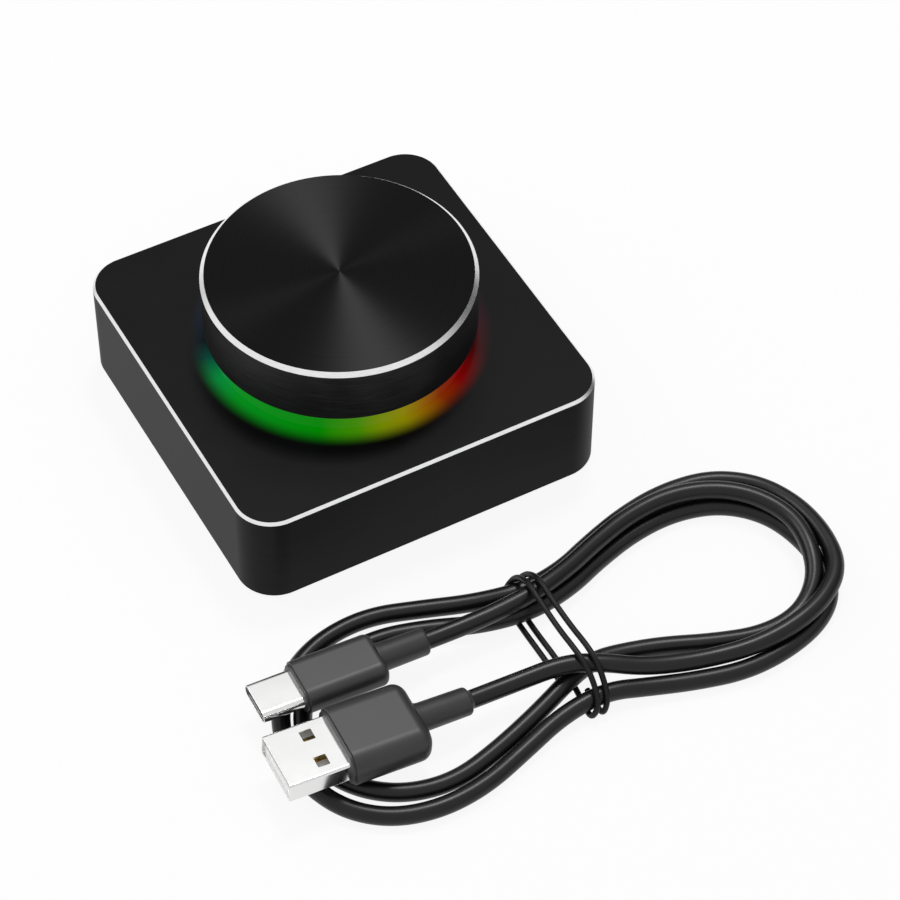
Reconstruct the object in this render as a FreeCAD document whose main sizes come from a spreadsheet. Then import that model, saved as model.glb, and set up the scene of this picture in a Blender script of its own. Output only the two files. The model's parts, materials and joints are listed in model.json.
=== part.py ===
import FreeCAD, Part
import math
import os
import Sketcher

# A desk volume knob: a square aluminium casing that stands on rubber feet, a large
# turning and pressing knob over a ring of light, and a loose USB lead beside it.
# Millimetres. +Z is up, z = 0 is the ground, the knob turns about the Z axis and the
# USB socket faces +Y.

doc = FreeCAD.newDocument("VolumeKnob")
dims = doc.addObject("Spreadsheet::Sheet", "dims")

sizes = {
    "casing": {
        "casingSide": 73.5,
        "casingHeight": 20.4,
        "casingCorner": 7.4,
        "casingWall": 2.2,
        "deckThickness": 3.0,
        "deckHoleRadius": 23.0,
        "edgeChamfer": 0.5,
        "postInset": 28.5,
        "postRadius": 3.6,
        "postTapRadius": 1.05,
        "postTapDepth": 8.0,
        "footDrop": 0.7,
    },
    "base plate, feet and ballast": {
        "fitGap": 0.1,
        "plateThickness": 3.0,
        "footRadius": 5.0,
        "footRecess": 0.5,
        "screwRadius": 1.0,
        "screwHoleRadius": 1.3,
        "headRadius": 2.2,
        "headHeight": 1.3,
        "ballastSide": 50.0,
        "ballastThickness": 3.0,
        "ballastCorner": 3.0,
        "ballastScrewX": 18.0,
    },
    "mounting plate": {
        "bracketThickness": 1.5,
        "bracketHalf": 31.0,
        "bracketChamfer": 12.0,
        "bracketScrewX": 26.5,
        "bracketScrewY": 15.0,
        "deckTapDepth": 2.2,
        "spacerInset": 22.0,
        "spacerRadius": 2.3,
        "spacerTapRadius": 1.05,
    },
    "main board": {
        "boardThickness": 1.6,
        "boardHalf": 31.0,
        "boardChamfer": 12.0,
        "boardRear": 34.0,
        "boardTongueHalf": 9.0,
        "chipSide": 5.0,
        "chipHeight": 0.9,
        "chipX": 15.0,
        "chipY": 9.0,
    },
    "light": {
        "ledBoardThickness": 0.8,
        "ledBoardInner": 15.0,
        "ledCircle": 20.3,
        "ledSide": 3.0,
        "ledHeight": 1.4,
        "lightOuter": 24.5,
        "lightSpigot": 22.9,
        "lightChannelOuter": 22.2,
        "lightChannelInner": 18.4,
        "lightInner": 17.6,
        "lightRoof": 3.1,
        "lightRise": 2.9,
        "headerY": 16.6,
        "headerPitch": 2.54,
        "headerPinRadius": 0.32,
        "headerWidth": 2.4,
        "headerHeight": 2.5,
    },
    "encoder": {
        "canWidth": 12.0,
        "canDepth": 12.4,
        "canHeight": 6.5,
        "canBaseHeight": 2.5,
        "canRoof": 0.4,
        "canCavityRadius": 5.4,
        "bushingRadius": 3.5,
        "bushingLength": 5.5,
        "runningGap": 0.04,
        "shaftRadius": 3.0,
        "shaftFlat": 2.0,
        "shaftTop": 33.0,
        "flatBottom": 23.5,
        "stemRadius": 2.2,
        "stemFlat": 1.6,
        "clipRadius": 4.0,
        "clipThickness": 0.4,
        "clipGroove": 2.0,
        "rotorRadius": 4.9,
        "rotorHeight": 1.8,
        "notchCount": 20,
        "notchRadius": 0.35,
        "washerRadius": 6.0,
        "washerThickness": 0.5,
        "nutAcrossFlats": 10.0,
        "nutHeight": 2.0,
        "domeRadius": 2.9,
        "domeHeight": 0.7,
        "pinRadius": 0.4,
        "pinHalfSpan": 5.2,
        "pinDrop": 1.2,
    },
    "knob": {
        "knobRadius": 25.7,
        "knobBottom": 24.85,
        "knobHeight": 12.1,
        "knobWall": 2.4,
        "knobRoof": 2.6,
        "knobChamfer": 0.77,
        "knobFootChamfer": 0.3,
        "hubRadius": 7.0,
        "hubBottom": 23.0,
        "hubFlangeRadius": 12.0,
        "hubFlangeThickness": 2.0,
        "hubScrewCircle": 9.5,
        "hubTapDepth": 1.6,
    },
    "USB-C socket": {
        "socketWidth": 8.94,
        "socketHeight": 3.16,
        "socketWall": 0.3,
        "socketLength": 7.35,
        "socketRecess": 0.5,
        "socketGap": 0.3,
        "tongueWidth": 6.69,
        "tongueThickness": 0.7,
        "tongueSetback": 0.6,
    },
    "cable": {
        "cableRadius": 1.725,
        "reliefRadius": 2.6,
        "plugInsert": 2.0,
        "plugWall": 0.3,
        "plugAWidth": 12.0,
        "plugAHeight": 4.5,
        "plugALength": 11.5,
        "plugAWindowX": 7.25,
        "plugAWindowY": 3.0,
        "plugAWindowSide": 2.3,
        "gripAWidth": 15.5,
        "gripAHeight": 7.8,
        "gripALength": 15.7,
        "gripARound": 3.4,
        "gripARearRound": 2.4,
        "reliefALength": 10.0,
        "plugCWidth": 8.34,
        "plugCHeight": 2.56,
        "plugCLength": 8.0,
        "gripCWidth": 10.6,
        "gripCHeight": 5.6,
        "gripCLength": 16.3,
        "plugCSlotWidth": 6.8,
        "plugCSlotHeight": 0.9,
        "gripChamfer": 0.3,
        "gripCRound": 2.5,
        "gripCRearRound": 1.4,
        "reliefCLength": 9.2,
        "tieWireRadius": 0.55,
        "tiePitch": 2.4,
    },
    "where the plugs and the tie lie": {
        "plugAX": -52.2,
        "plugAY": -75.4,
        "plugAZ": 8.25,
        "plugAYaw": -2.3,
        "plugADip": 3.5,
        "plugCX": -48.8,
        "plugCY": -60.3,
        "plugCZ": 6.9,
        "plugCYaw": -2.0,
        "plugCDip": 2.0,
        "tieX": 3.3,
        "tieSlant": 2.7,
        "tieRound": 3.0,
        "tieNearY": -87.1,
        "tieFarY": -55.7,
        "hankLow": 3.45,
        "hankHigh": 7.2,
        "hankRound": 1.5,
    },
}

row = 1
for section, cells in sizes.items():
    dims.set("A%d" % row, section)
    row += 1
    for alias, number in cells.items():
        dims.set("A%d" % row, alias)
        dims.set("B%d" % row, str(number))
        dims.setAlias("B%d" % row, alias)
        row += 1
doc.recompute()

# Levels and half sizes that several pieces share, as expressions on the sheet.
half = "dims.casingSide / 2"
casingTop = "dims.footDrop + dims.casingHeight"
deckUnder = f"({casingTop} - dims.deckThickness)"
plateTop = "(dims.footDrop + dims.plateThickness)"
footTop = "(dims.footDrop + dims.footRecess)"
ballastTop = f"({plateTop} + dims.ballastThickness)"
bracketUnder = f"({deckUnder} - dims.bracketThickness)"
boardTop = f"({bracketUnder} - dims.canHeight)"
boardUnder = f"({boardTop} - dims.boardThickness)"
canSplit = f"({boardTop} + dims.canBaseHeight)"
canRoofUnder = f"({bracketUnder} - dims.canRoof)"
ledBoardTop = f"({deckUnder} + dims.ledBoardThickness)"
clipTop = f"({canRoofUnder} - 0.3)"
clipUnder = f"({clipTop} - dims.clipThickness)"
rotorUnder = f"({canSplit} + 0.5)"
rotorTop = f"({rotorUnder} + dims.rotorHeight)"
stemBottom = f"({boardTop} + 1.5)"
domeFoot = f"({stemBottom} - dims.domeHeight)"
knobTop = "(dims.knobBottom + dims.knobHeight)"
knobCeiling = f"({knobTop} - dims.knobRoof)"
flangeUnder = f"({knobCeiling} - dims.hubFlangeThickness)"
socketRear = f"({half} - dims.socketRecess)"
socketFront = f"({socketRear} - dims.socketLength)"
socketMiddle = f"({boardTop} + dims.socketHeight / 2)"

subparts = {}


def value(expression):
    return float(doc.dims.evalExpression(str(expression)))


def keep(label, piece):
    piece.Label = label
    subparts[label] = piece
    return piece


def four(x, y):
    return [(f"{sx}({x})", f"{sy}({y})") for sx in ("", "-") for sy in ("", "-")]


# ---- sketches and features of a body ----


def newBody(label):
    return keep(label, doc.addObject("PartDesign::Body", label + "_body"))


def sketchOn(body, role, offset="0"):
    sketch = body.newObject("Sketcher::SketchObject", body.Label + "_sketch")
    plane = next(f for f in body.Origin.OriginFeatures if f.Role == role)
    sketch.AttachmentSupport = [(plane, "")]
    sketch.MapMode = "FlatFace"
    sketch.setExpression("AttachmentOffset.Base.z", str(offset))
    return sketch


def bind(sketch, kind, *placeAndSize):
    *place, size = placeAndSize
    index = sketch.addConstraint(Sketcher.Constraint(kind, *place, value(size)))
    sketch.setExpression("Constraints[%d]" % index, str(size))


def bindPoint(sketch, geometry, end, x, y):
    bind(sketch, "DistanceX", geometry, end, x)
    bind(sketch, "DistanceY", geometry, end, y)


def drawPolygon(sketch, corners):
    points = [FreeCAD.Vector(value(x), value(y), 0) for x, y in corners]
    lines = [
        sketch.addGeometry(Part.LineSegment(a, b), False)
        for a, b in zip(points, points[1:] + points[:1])
    ]
    for line, following in zip(lines, lines[1:] + lines[:1]):
        sketch.addConstraint(Sketcher.Constraint("Coincident", line, 2, following, 1))
    for line, (x, y) in zip(lines, corners):
        bindPoint(sketch, line, 1, x, y)
    return sketch


def drawCircles(sketch, radius, centres=(("0", "0"),)):
    for x, y in centres:
        centre = FreeCAD.Vector(value(x), value(y), 0)
        circle = Part.Circle(centre, FreeCAD.Vector(0, 0, 1), value(radius))
        index = sketch.addGeometry(circle, False)
        bindPoint(sketch, index, 3, x, y)
        bind(sketch, "Radius", index, radius)
    return sketch


def drawRounded(sketch, halfX, halfY, radius, x="0", y="0"):
    # Four quarter arcs joined by four tangent lines, anticlockwise from the right top corner.
    size = value(radius)
    arcs, ends = [], []
    for turn, (sx, sy) in enumerate((("+", "+"), ("-", "+"), ("-", "-"), ("+", "-"))):
        cx = f"({x}) {sx} ({halfX} - ({radius}))"
        cy = f"({y}) {sy} ({halfY} - ({radius}))"
        centre = FreeCAD.Vector(value(cx), value(cy), 0)
        circle = Part.Circle(centre, FreeCAD.Vector(0, 0, 1), size)
        start = turn * math.pi / 2
        arc = Part.ArcOfCircle(circle, start, start + math.pi / 2)
        index = sketch.addGeometry(arc, False)
        bindPoint(sketch, index, 3, cx, cy)
        bind(sketch, "Radius", index, radius)
        arcs.append(index)
        ends.append((arc.StartPoint, arc.EndPoint))
    for turn in range(4):
        after = (turn + 1) % 4
        line = sketch.addGeometry(Part.LineSegment(ends[turn][1], ends[after][0]), False)
        sketch.addConstraint(Sketcher.Constraint("Tangent", arcs[turn], 2, line, 1))
        sketch.addConstraint(Sketcher.Constraint("Tangent", line, 2, arcs[after], 1))
    return sketch


def drawFlatRound(sketch, radius, flat):
    # A circle with one side cut off straight at x = flat.
    reach, size = value(flat), value(radius)
    angle = math.acos(reach / size)
    circle = Part.Circle(FreeCAD.Vector(0, 0, 0), FreeCAD.Vector(0, 0, 1), size)
    arc = Part.ArcOfCircle(circle, angle, 2 * math.pi - angle)
    sketch.addGeometry(arc, False)
    sketch.addGeometry(Part.LineSegment(arc.EndPoint, arc.StartPoint), False)
    bindPoint(sketch, 0, 3, "0", "0")
    bind(sketch, "Radius", 0, radius)
    sketch.addConstraint(Sketcher.Constraint("Coincident", 0, 2, 1, 1))
    sketch.addConstraint(Sketcher.Constraint("Coincident", 1, 2, 0, 1))
    sketch.addConstraint(Sketcher.Constraint("Vertical", 1))
    bind(sketch, "DistanceX", 1, 1, flat)
    return sketch


def addPad(body, sketch, length, reverse=False):
    feature = body.newObject("PartDesign::Pad", body.Label + "_pad")
    feature.Profile = sketch
    feature.Reversed = reverse
    feature.setExpression("Length", str(length))
    sketch.Visibility = False
    return feature


def checkCut(body, before):
    doc.recompute()
    if not body.Shape.Volume < before - 1e-4:
        raise ValueError(f"{body.Label}: {body.Tip.Label} takes nothing away")


def addPocket(body, sketch, depth, reverse=False):
    doc.recompute()
    before = body.Shape.Volume
    feature = body.newObject("PartDesign::Pocket", body.Label + "_pocket")
    feature.Profile = sketch
    feature.Reversed = reverse
    feature.setExpression("Length", str(depth))
    checkCut(body, before)
    return feature


def turnProfile(body, corners, axis="V_Axis"):
    sketch = drawPolygon(sketchOn(body, "XZ_Plane"), corners)
    feature = body.newObject("PartDesign::Revolution", body.Label + "_turned")
    feature.Profile = sketch
    feature.ReferenceAxis = (sketch, [axis])
    feature.Angle = 360
    return feature


def turned(label, corners):
    body = newBody(label)
    turnProfile(body, corners)
    return body


def edgesWhere(feature, test):
    doc.recompute()
    edges = feature.Shape.Edges
    return ["Edge%d" % (i + 1) for i, edge in enumerate(edges) if test(edge)]


def dress(body, kind, edgeTest, size):
    # A PartDesign Fillet or Chamfer on the tip's edges that pass the test.
    base = body.Tip
    names = edgesWhere(base, edgeTest)
    feature = body.newObject("PartDesign::" + kind, body.Label + "_" + kind.lower())
    feature.Base = (base, names)
    feature.setExpression("Radius" if kind == "Fillet" else "Size", str(size))
    return feature


def inPlane(axis, level):
    # Tests for edges that lie whole in the plane where that coordinate has that value.
    at = value(level)

    def test(edge):
        box = edge.BoundBox
        low, high = getattr(box, axis + "Min"), getattr(box, axis + "Max")
        return abs(low - at) < 1e-4 and abs(high - at) < 1e-4

    return test


# ---- Part primitives and booleans ----


def placeAt(piece, x="0", y="0", z="0"):
    for axis, size in zip("xyz", (x, y, z)):
        piece.setExpression("Placement.Base." + axis, str(size))
    return piece


def addCylinder(name, radius, height, x="0", y="0", z="0"):
    piece = doc.addObject("Part::Cylinder", name)
    piece.setExpression("Radius", str(radius))
    piece.setExpression("Height", str(height))
    return placeAt(piece, x, y, z)


def addBlock(name, sizeX, sizeY, sizeZ, x="0", y="0", z="0"):
    # x and y are the middle of the block, and z is its underside.
    piece = doc.addObject("Part::Box", name)
    for side, size in zip(("Length", "Width", "Height"), (sizeX, sizeY, sizeZ)):
        piece.setExpression(side, str(size))
    return placeAt(piece, f"({x}) - ({sizeX}) / 2", f"({y}) - ({sizeY}) / 2", z)


def fuse(label, pieces):
    joined = doc.addObject("Part::MultiFuse", label + "_fused")
    joined.Shapes = pieces
    return joined


def cut(label, base, tool):
    result = doc.addObject("Part::Cut", label + "_cut")
    result.Base, result.Tool = base, tool
    return result


def group(label, pieces):
    # Separate solids that share a node.
    gathered = doc.addObject("Part::Compound", label + "_group")
    gathered.Links = pieces
    return keep(label, gathered)


def screwUp(name, x, y, headUnder, length):
    # A screw that points up: its head's underside faces down at headUnder.
    head = addCylinder(name + "_head", "dims.headRadius", "dims.headHeight", x, y, headUnder)
    socket = addCylinder(
        name + "_drive", "dims.headRadius / 2", "dims.headHeight / 2", x, y, headUnder
    )
    shankFoot = f"({headUnder}) + dims.headHeight"
    shank = addCylinder(name + "_shank", "dims.screwRadius", length, x, y, shankFoot)
    return cut(name, fuse(name, [head, shank]), socket)


# ---- casing ----


def makeCasingShell():
    body = newBody("casing_shell")
    outline = sketchOn(body, "XY_Plane", "dims.footDrop")
    addPad(body, drawRounded(outline, half, half, "dims.casingCorner"), "dims.casingHeight")
    cavity = sketchOn(body, "XY_Plane", "dims.footDrop")
    innerHalf = f"({half} - dims.casingWall)"
    drawRounded(cavity, innerHalf, innerHalf, "dims.casingCorner - dims.casingWall")
    addPocket(body, cavity, "dims.casingHeight - dims.deckThickness", reverse=True)
    opening = drawCircles(sketchOn(body, "XY_Plane", casingTop), "dims.deckHoleRadius")
    addPocket(body, opening, "dims.deckThickness")
    corners = four("dims.postInset", "dims.postInset")
    posts = drawCircles(sketchOn(body, "XY_Plane", deckUnder), "dims.postRadius", corners)
    addPad(body, posts, f"{deckUnder} - {plateTop}", reverse=True)
    taps = drawCircles(sketchOn(body, "XY_Plane", plateTop), "dims.postTapRadius", corners)
    addPocket(body, taps, "dims.postTapDepth", reverse=True)
    places = four("dims.bracketScrewX", "dims.bracketScrewY")
    deckTaps = drawCircles(sketchOn(body, "XY_Plane", deckUnder), "dims.postTapRadius", places)
    addPocket(body, deckTaps, "dims.deckTapDepth", reverse=True)
    port = sketchOn(body, "XZ_Plane", f"-({half})")
    portHalfX = "dims.socketWidth / 2 + dims.socketGap"
    portHalfZ = "dims.socketHeight / 2 + dims.socketGap"
    drawRounded(port, portHalfX, portHalfZ, f"{portHalfZ} - 0.05", y=socketMiddle)
    addPocket(body, port, "dims.casingWall + 0.5", reverse=True)
    outer = value(half) - value("dims.casingCorner")
    onTop = inPlane("Z", casingTop)

    def topRim(edge):
        middle = edge.CenterOfMass
        return onTop(edge) and max(abs(middle.x), abs(middle.y)) > outer

    dress(body, "Chamfer", topRim, "dims.edgeChamfer")


def makeBasePlate():
    body = newBody("base_plate")
    outline = sketchOn(body, "XY_Plane", "dims.footDrop")
    plateHalf = f"({half} - dims.casingWall - dims.fitGap)"
    corner = "dims.casingCorner - dims.casingWall - dims.fitGap"
    addPad(body, drawRounded(outline, plateHalf, plateHalf, corner), "dims.plateThickness")
    corners = four("dims.postInset", "dims.postInset")
    level = "dims.footDrop"
    recess = sketchOn(body, "XY_Plane", level)
    drawCircles(recess, "dims.footRadius + dims.fitGap", corners)
    addPocket(body, recess, "dims.footRecess", reverse=True)
    seat = drawCircles(sketchOn(body, "XY_Plane", level), "dims.headRadius + 0.2", corners)
    addPocket(body, seat, "dims.footRecess + dims.headHeight + 0.1", reverse=True)
    holes = drawCircles(sketchOn(body, "XY_Plane", level), "dims.screwHoleRadius", corners)
    addPocket(body, holes, "dims.plateThickness", reverse=True)
    taps = sketchOn(body, "XY_Plane", plateTop)
    drawCircles(taps, "dims.screwRadius", [("dims.ballastScrewX", "0"), ("-dims.ballastScrewX", "0")])
    addPocket(body, taps, "dims.plateThickness - 0.8")


def makeFeetAndScrews():
    feet, screws = [], []
    for i, (x, y) in enumerate(four("dims.postInset", "dims.postInset")):
        foot = addCylinder("foot%d" % i, "dims.footRadius", footTop, x, y)
        rounded = doc.addObject("Part::Chamfer", "footEdge%d" % i)
        rounded.Base = foot
        doc.recompute()
        edges = [n + 1 for n, e in enumerate(foot.Shape.Edges) if inPlane("Z", "0")(e)]
        rounded.Edges = [(n, 0.4, 0.4) for n in edges]
        feet.append(rounded)
        screws.append(screwUp("baseScrew%d" % i, x, y, f"{footTop} + 0.1", "7.5"))
    group("rubber_feet", feet)
    group("base_screws", screws)


def makeBallast():
    body = newBody("ballast_plate")
    sketch = sketchOn(body, "XY_Plane", plateTop)
    side = "dims.ballastSide / 2"
    addPad(body, drawRounded(sketch, side, side, "dims.ballastCorner"), "dims.ballastThickness")
    places = [("dims.ballastScrewX", "0"), ("-dims.ballastScrewX", "0")]
    holes = drawCircles(sketchOn(body, "XY_Plane", ballastTop), "dims.screwHoleRadius", places)
    addPocket(body, holes, "dims.ballastThickness")
    screws = []
    for i, (x, y) in enumerate(places):
        name = "ballastScrew%d" % i
        head = addCylinder(name + "_head", "dims.headRadius", "dims.headHeight - 0.1", x, y, ballastTop)
        length = "dims.ballastThickness + dims.plateThickness - 1.2"
        foot = f"{ballastTop} - ({length})"
        shank = addCylinder(name + "_shank", "dims.screwRadius - 0.02", length, x, y, foot)
        driveFoot = f"{ballastTop} + dims.headHeight / 2"
        drive = addCylinder(name + "_drive", "dims.headRadius / 2", "dims.headHeight", x, y, driveFoot)
        screws.append(cut(name, fuse(name, [head, shank]), drive))
    group("ballast_screws", screws)


# ---- plates, boards and what they carry ----


def chamferedSquare(size, chamfer):
    short = f"({size} - {chamfer})"
    return [
        (f"-{size}", f"-{short}"),
        (f"-{short}", f"-{size}"),
        (short, f"-{size}"),
        (size, f"-{short}"),
        (size, short),
        (short, size),
        (f"-{short}", size),
        (f"-{size}", short),
    ]


def headerPins():
    return [(f"{step} * dims.headerPitch", "-dims.headerY") for step in (-1.5, -0.5, 0.5, 1.5)]


def encoderPins():
    front = [(f"{step} * 2.5", "-dims.pinHalfSpan") for step in (-1, 0, 1)]
    return front + [(f"{step} * 2.5", "dims.pinHalfSpan") for step in (-1, 1)]


def makeMountingPlate():
    body = newBody("mounting_plate")
    outline = sketchOn(body, "XY_Plane", bracketUnder)
    drawPolygon(outline, chamferedSquare("dims.bracketHalf", "dims.bracketChamfer"))
    addPad(body, outline, "dims.bracketThickness")
    level = deckUnder
    centre = drawCircles(sketchOn(body, "XY_Plane", level), "dims.bushingRadius + 0.1")
    addPocket(body, centre, "dims.bracketThickness")
    places = four("dims.bracketScrewX", "dims.bracketScrewY")
    holes = drawCircles(sketchOn(body, "XY_Plane", level), "dims.screwHoleRadius", places)
    addPocket(body, holes, "dims.bracketThickness")
    spacers = four("dims.spacerInset", "dims.spacerInset")
    necks = drawCircles(sketchOn(body, "XY_Plane", level), "dims.spacerRadius - 0.7", spacers)
    addPocket(body, necks, "dims.bracketThickness")
    slot = sketchOn(body, "XY_Plane", level)
    drawRounded(slot, "2.3 * dims.headerPitch", "1.4", "0.6", y="-dims.headerY")
    addPocket(body, slot, "dims.bracketThickness")
    screws = []
    for i, (x, y) in enumerate(places):
        start = f"{bracketUnder} - dims.headHeight"
        screws.append(screwUp("plateScrew%d" % i, x, y, start, "3.2"))
    group("plate_screws", screws)


def makeSpacers():
    spacers, screws = [], []
    for i, (x, y) in enumerate(four("dims.spacerInset", "dims.spacerInset")):
        name = "spacer%d" % i
        barrel = addCylinder(name + "_barrel", "dims.spacerRadius", "dims.canHeight", x, y, boardTop)
        neck = addCylinder(
            name + "_neck", "dims.spacerRadius - 0.7", "dims.bracketThickness", x, y, bracketUnder
        )
        tapped = addCylinder(name + "_tap", "dims.spacerTapRadius", "5", x, y, boardTop)
        spacers.append(cut(name, fuse(name, [barrel, neck]), tapped))
        start = f"{boardUnder} - dims.headHeight"
        screws.append(screwUp("boardScrew%d" % i, x, y, start, "dims.boardThickness + 4"))
    group("board_spacers", spacers)
    group("board_screws", screws)


def makeMainBoard():
    body = newBody("main_board")
    outline = sketchOn(body, "XY_Plane", boardUnder)
    corners = chamferedSquare("dims.boardHalf", "dims.boardChamfer")
    tongue = [
        ("dims.boardTongueHalf", "dims.boardHalf"),
        ("dims.boardTongueHalf", "dims.boardRear"),
        ("-dims.boardTongueHalf", "dims.boardRear"),
        ("-dims.boardTongueHalf", "dims.boardHalf"),
    ]
    drawPolygon(outline, corners[:6] + tongue + corners[6:])
    addPad(body, outline, "dims.boardThickness")
    depth = "dims.boardThickness"
    spacers = four("dims.spacerInset", "dims.spacerInset")
    for radius, places in (
        ("dims.screwHoleRadius", spacers),
        ("dims.headerPinRadius + 0.15", headerPins()),
        ("dims.pinRadius + 0.15", encoderPins()),
    ):
        addPocket(body, drawCircles(sketchOn(body, "XY_Plane", boardTop), radius, places), depth)


def makeBoardParts():
    chip = addBlock(
        "chip", "dims.chipSide", "dims.chipSide", "dims.chipHeight", "dims.chipX", "dims.chipY", boardTop
    )
    keep("controller_chip", chip)
    capacitors = []
    for i in range(6):
        x = f"dims.chipX - 5 + {2.2 * i:g}"
        capacitors.append(
            addBlock("capacitor%d" % i, "0.9", "1.6", "0.8", x, "dims.chipY + 5.2", boardTop)
        )
    group("capacitors", capacitors)


def makeLedBoard():
    body = newBody("led_board")
    ring = sketchOn(body, "XY_Plane", deckUnder)
    drawCircles(ring, "dims.deckHoleRadius - 0.2")
    drawCircles(ring, "dims.ledBoardInner")
    addPad(body, ring, "dims.ledBoardThickness")
    holes = sketchOn(body, "XY_Plane", ledBoardTop)
    drawCircles(holes, "dims.headerPinRadius + 0.1", headerPins())
    addPocket(body, holes, "dims.ledBoardThickness")
    leds = []
    for i in range(12):
        led = addBlock("led%d" % i, "dims.ledSide", "dims.ledSide", "dims.ledHeight", z=ledBoardTop)
        # Each sits flat side to the centre, 30 degrees after the one before.
        angle = 30 * i
        cosine, sine = math.cos(math.radians(angle)), math.sin(math.radians(angle))
        near = "(dims.ledCircle - dims.ledSide / 2)"
        side = "dims.ledSide / 2"
        placeAt(
            led,
            f"{near} * {cosine:.9f} + {side} * {sine:.9f}",
            f"{near} * {sine:.9f} - {side} * {cosine:.9f}",
            ledBoardTop,
        )
        led.setExpression("Placement.Rotation.Angle", str(angle))
        leds.append(led)
    group("leds", leds)
    pins = [
        addCylinder(
            "headerPin%d" % i,
            "dims.headerPinRadius",
            f"{ledBoardTop} - {boardUnder} + 1.2",
            x,
            y,
            f"{boardUnder} - 0.8",
        )
        for i, (x, y) in enumerate(headerPins())
    ]
    strip = addBlock(
        "headerStrip",
        "4 * dims.headerPitch",
        "dims.headerWidth",
        "dims.headerHeight",
        "0",
        "-dims.headerY",
        boardTop,
    )
    keep("led_header", fuse("led_header", pins + [strip]))


def makeLightRing():
    # A ring with a channel underneath that covers the lamps, on a spigot in the deck.
    top = f"({casingTop} + dims.lightRise)"
    turned(
        "light_ring",
        [
            ("dims.lightInner", ledBoardTop),
            ("dims.lightChannelInner", ledBoardTop),
            ("dims.lightChannelInner", f"{top} - dims.lightRoof"),
            ("dims.lightChannelOuter", f"{top} - dims.lightRoof"),
            ("dims.lightChannelOuter", ledBoardTop),
            ("dims.lightSpigot", ledBoardTop),
            ("dims.lightSpigot", casingTop),
            ("dims.lightOuter", casingTop),
            ("dims.lightOuter", f"{top} - 0.5"),
            ("dims.lightOuter - 0.5", top),
            ("dims.lightInner", top),
        ],
    )


# ---- rotary encoder ----


def makeEncoderHousing():
    body = newBody("encoder_base")
    level = canSplit
    outline = sketchOn(body, "XY_Plane", boardTop)
    drawRounded(outline, "dims.canWidth / 2", "dims.canDepth / 2", "0.6")
    addPad(body, outline, "dims.canBaseHeight")
    well = drawCircles(sketchOn(body, "XY_Plane", level), "dims.domeRadius + 0.2")
    addPocket(body, well, f"{canSplit} - {domeFoot}")

    body = newBody("encoder_can")
    outline = sketchOn(body, "XY_Plane", canSplit)
    drawRounded(outline, "dims.canWidth / 2", "dims.canDepth / 2", "0.6")
    addPad(body, outline, "dims.canHeight - dims.canBaseHeight")
    cavity = drawCircles(sketchOn(body, "XY_Plane", canSplit), "dims.canCavityRadius")
    addPocket(body, cavity, f"{canRoofUnder} - {canSplit}", reverse=True)
    hole = drawCircles(sketchOn(body, "XY_Plane", bracketUnder), "dims.bushingRadius")
    addPocket(body, hole, "dims.canRoof")

    bore = "(dims.shaftRadius + dims.runningGap)"
    bushingTop = f"({bracketUnder} + dims.bushingLength)"
    turned(
        "encoder_bushing",
        [
            (bore, canRoofUnder),
            ("dims.bushingRadius", canRoofUnder),
            ("dims.bushingRadius", f"{bushingTop} - 0.3"),
            ("dims.bushingRadius - 0.3", bushingTop),
            (bore, bushingTop),
        ],
    )

    pins = [
        addCylinder(
            "encoderPin%d" % i,
            "dims.pinRadius",
            "dims.boardThickness + dims.pinDrop",
            x,
            y,
            f"{boardUnder} - dims.pinDrop",
        )
        for i, (x, y) in enumerate(encoderPins())
    ]
    group("encoder_pins", pins)
    wipers = [
        addBlock("wiper%d" % i, "0.8", "4", "0.25", f"{x}", "0", canSplit)
        for i, x in enumerate((-4.4, -3.4, 4.0))
    ]
    group("encoder_wipers", wipers)


def makeEncoderFasteners():
    turned(
        "encoder_washer",
        [
            ("dims.bushingRadius + 0.15", deckUnder),
            ("dims.washerRadius", deckUnder),
            ("dims.washerRadius", f"{deckUnder} + dims.washerThickness"),
            ("dims.bushingRadius + 0.15", f"{deckUnder} + dims.washerThickness"),
        ],
    )
    body = newBody("encoder_nut")
    foot = f"({deckUnder} + dims.washerThickness)"
    sketch = sketchOn(body, "XY_Plane", foot)
    reach = "(dims.nutAcrossFlats / 2 / cos(30))"
    hexagon = []
    for i in range(6):
        angle = math.radians(60 * i)
        hexagon.append((f"{reach} * {math.cos(angle):.9f}", f"{reach} * {math.sin(angle):.9f}"))
    addPad(body, drawPolygon(sketch, hexagon), "dims.nutHeight")
    hole = sketchOn(body, "XY_Plane", f"{foot} + dims.nutHeight")
    addPocket(body, drawCircles(hole, "dims.bushingRadius"), "dims.nutHeight")


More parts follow.
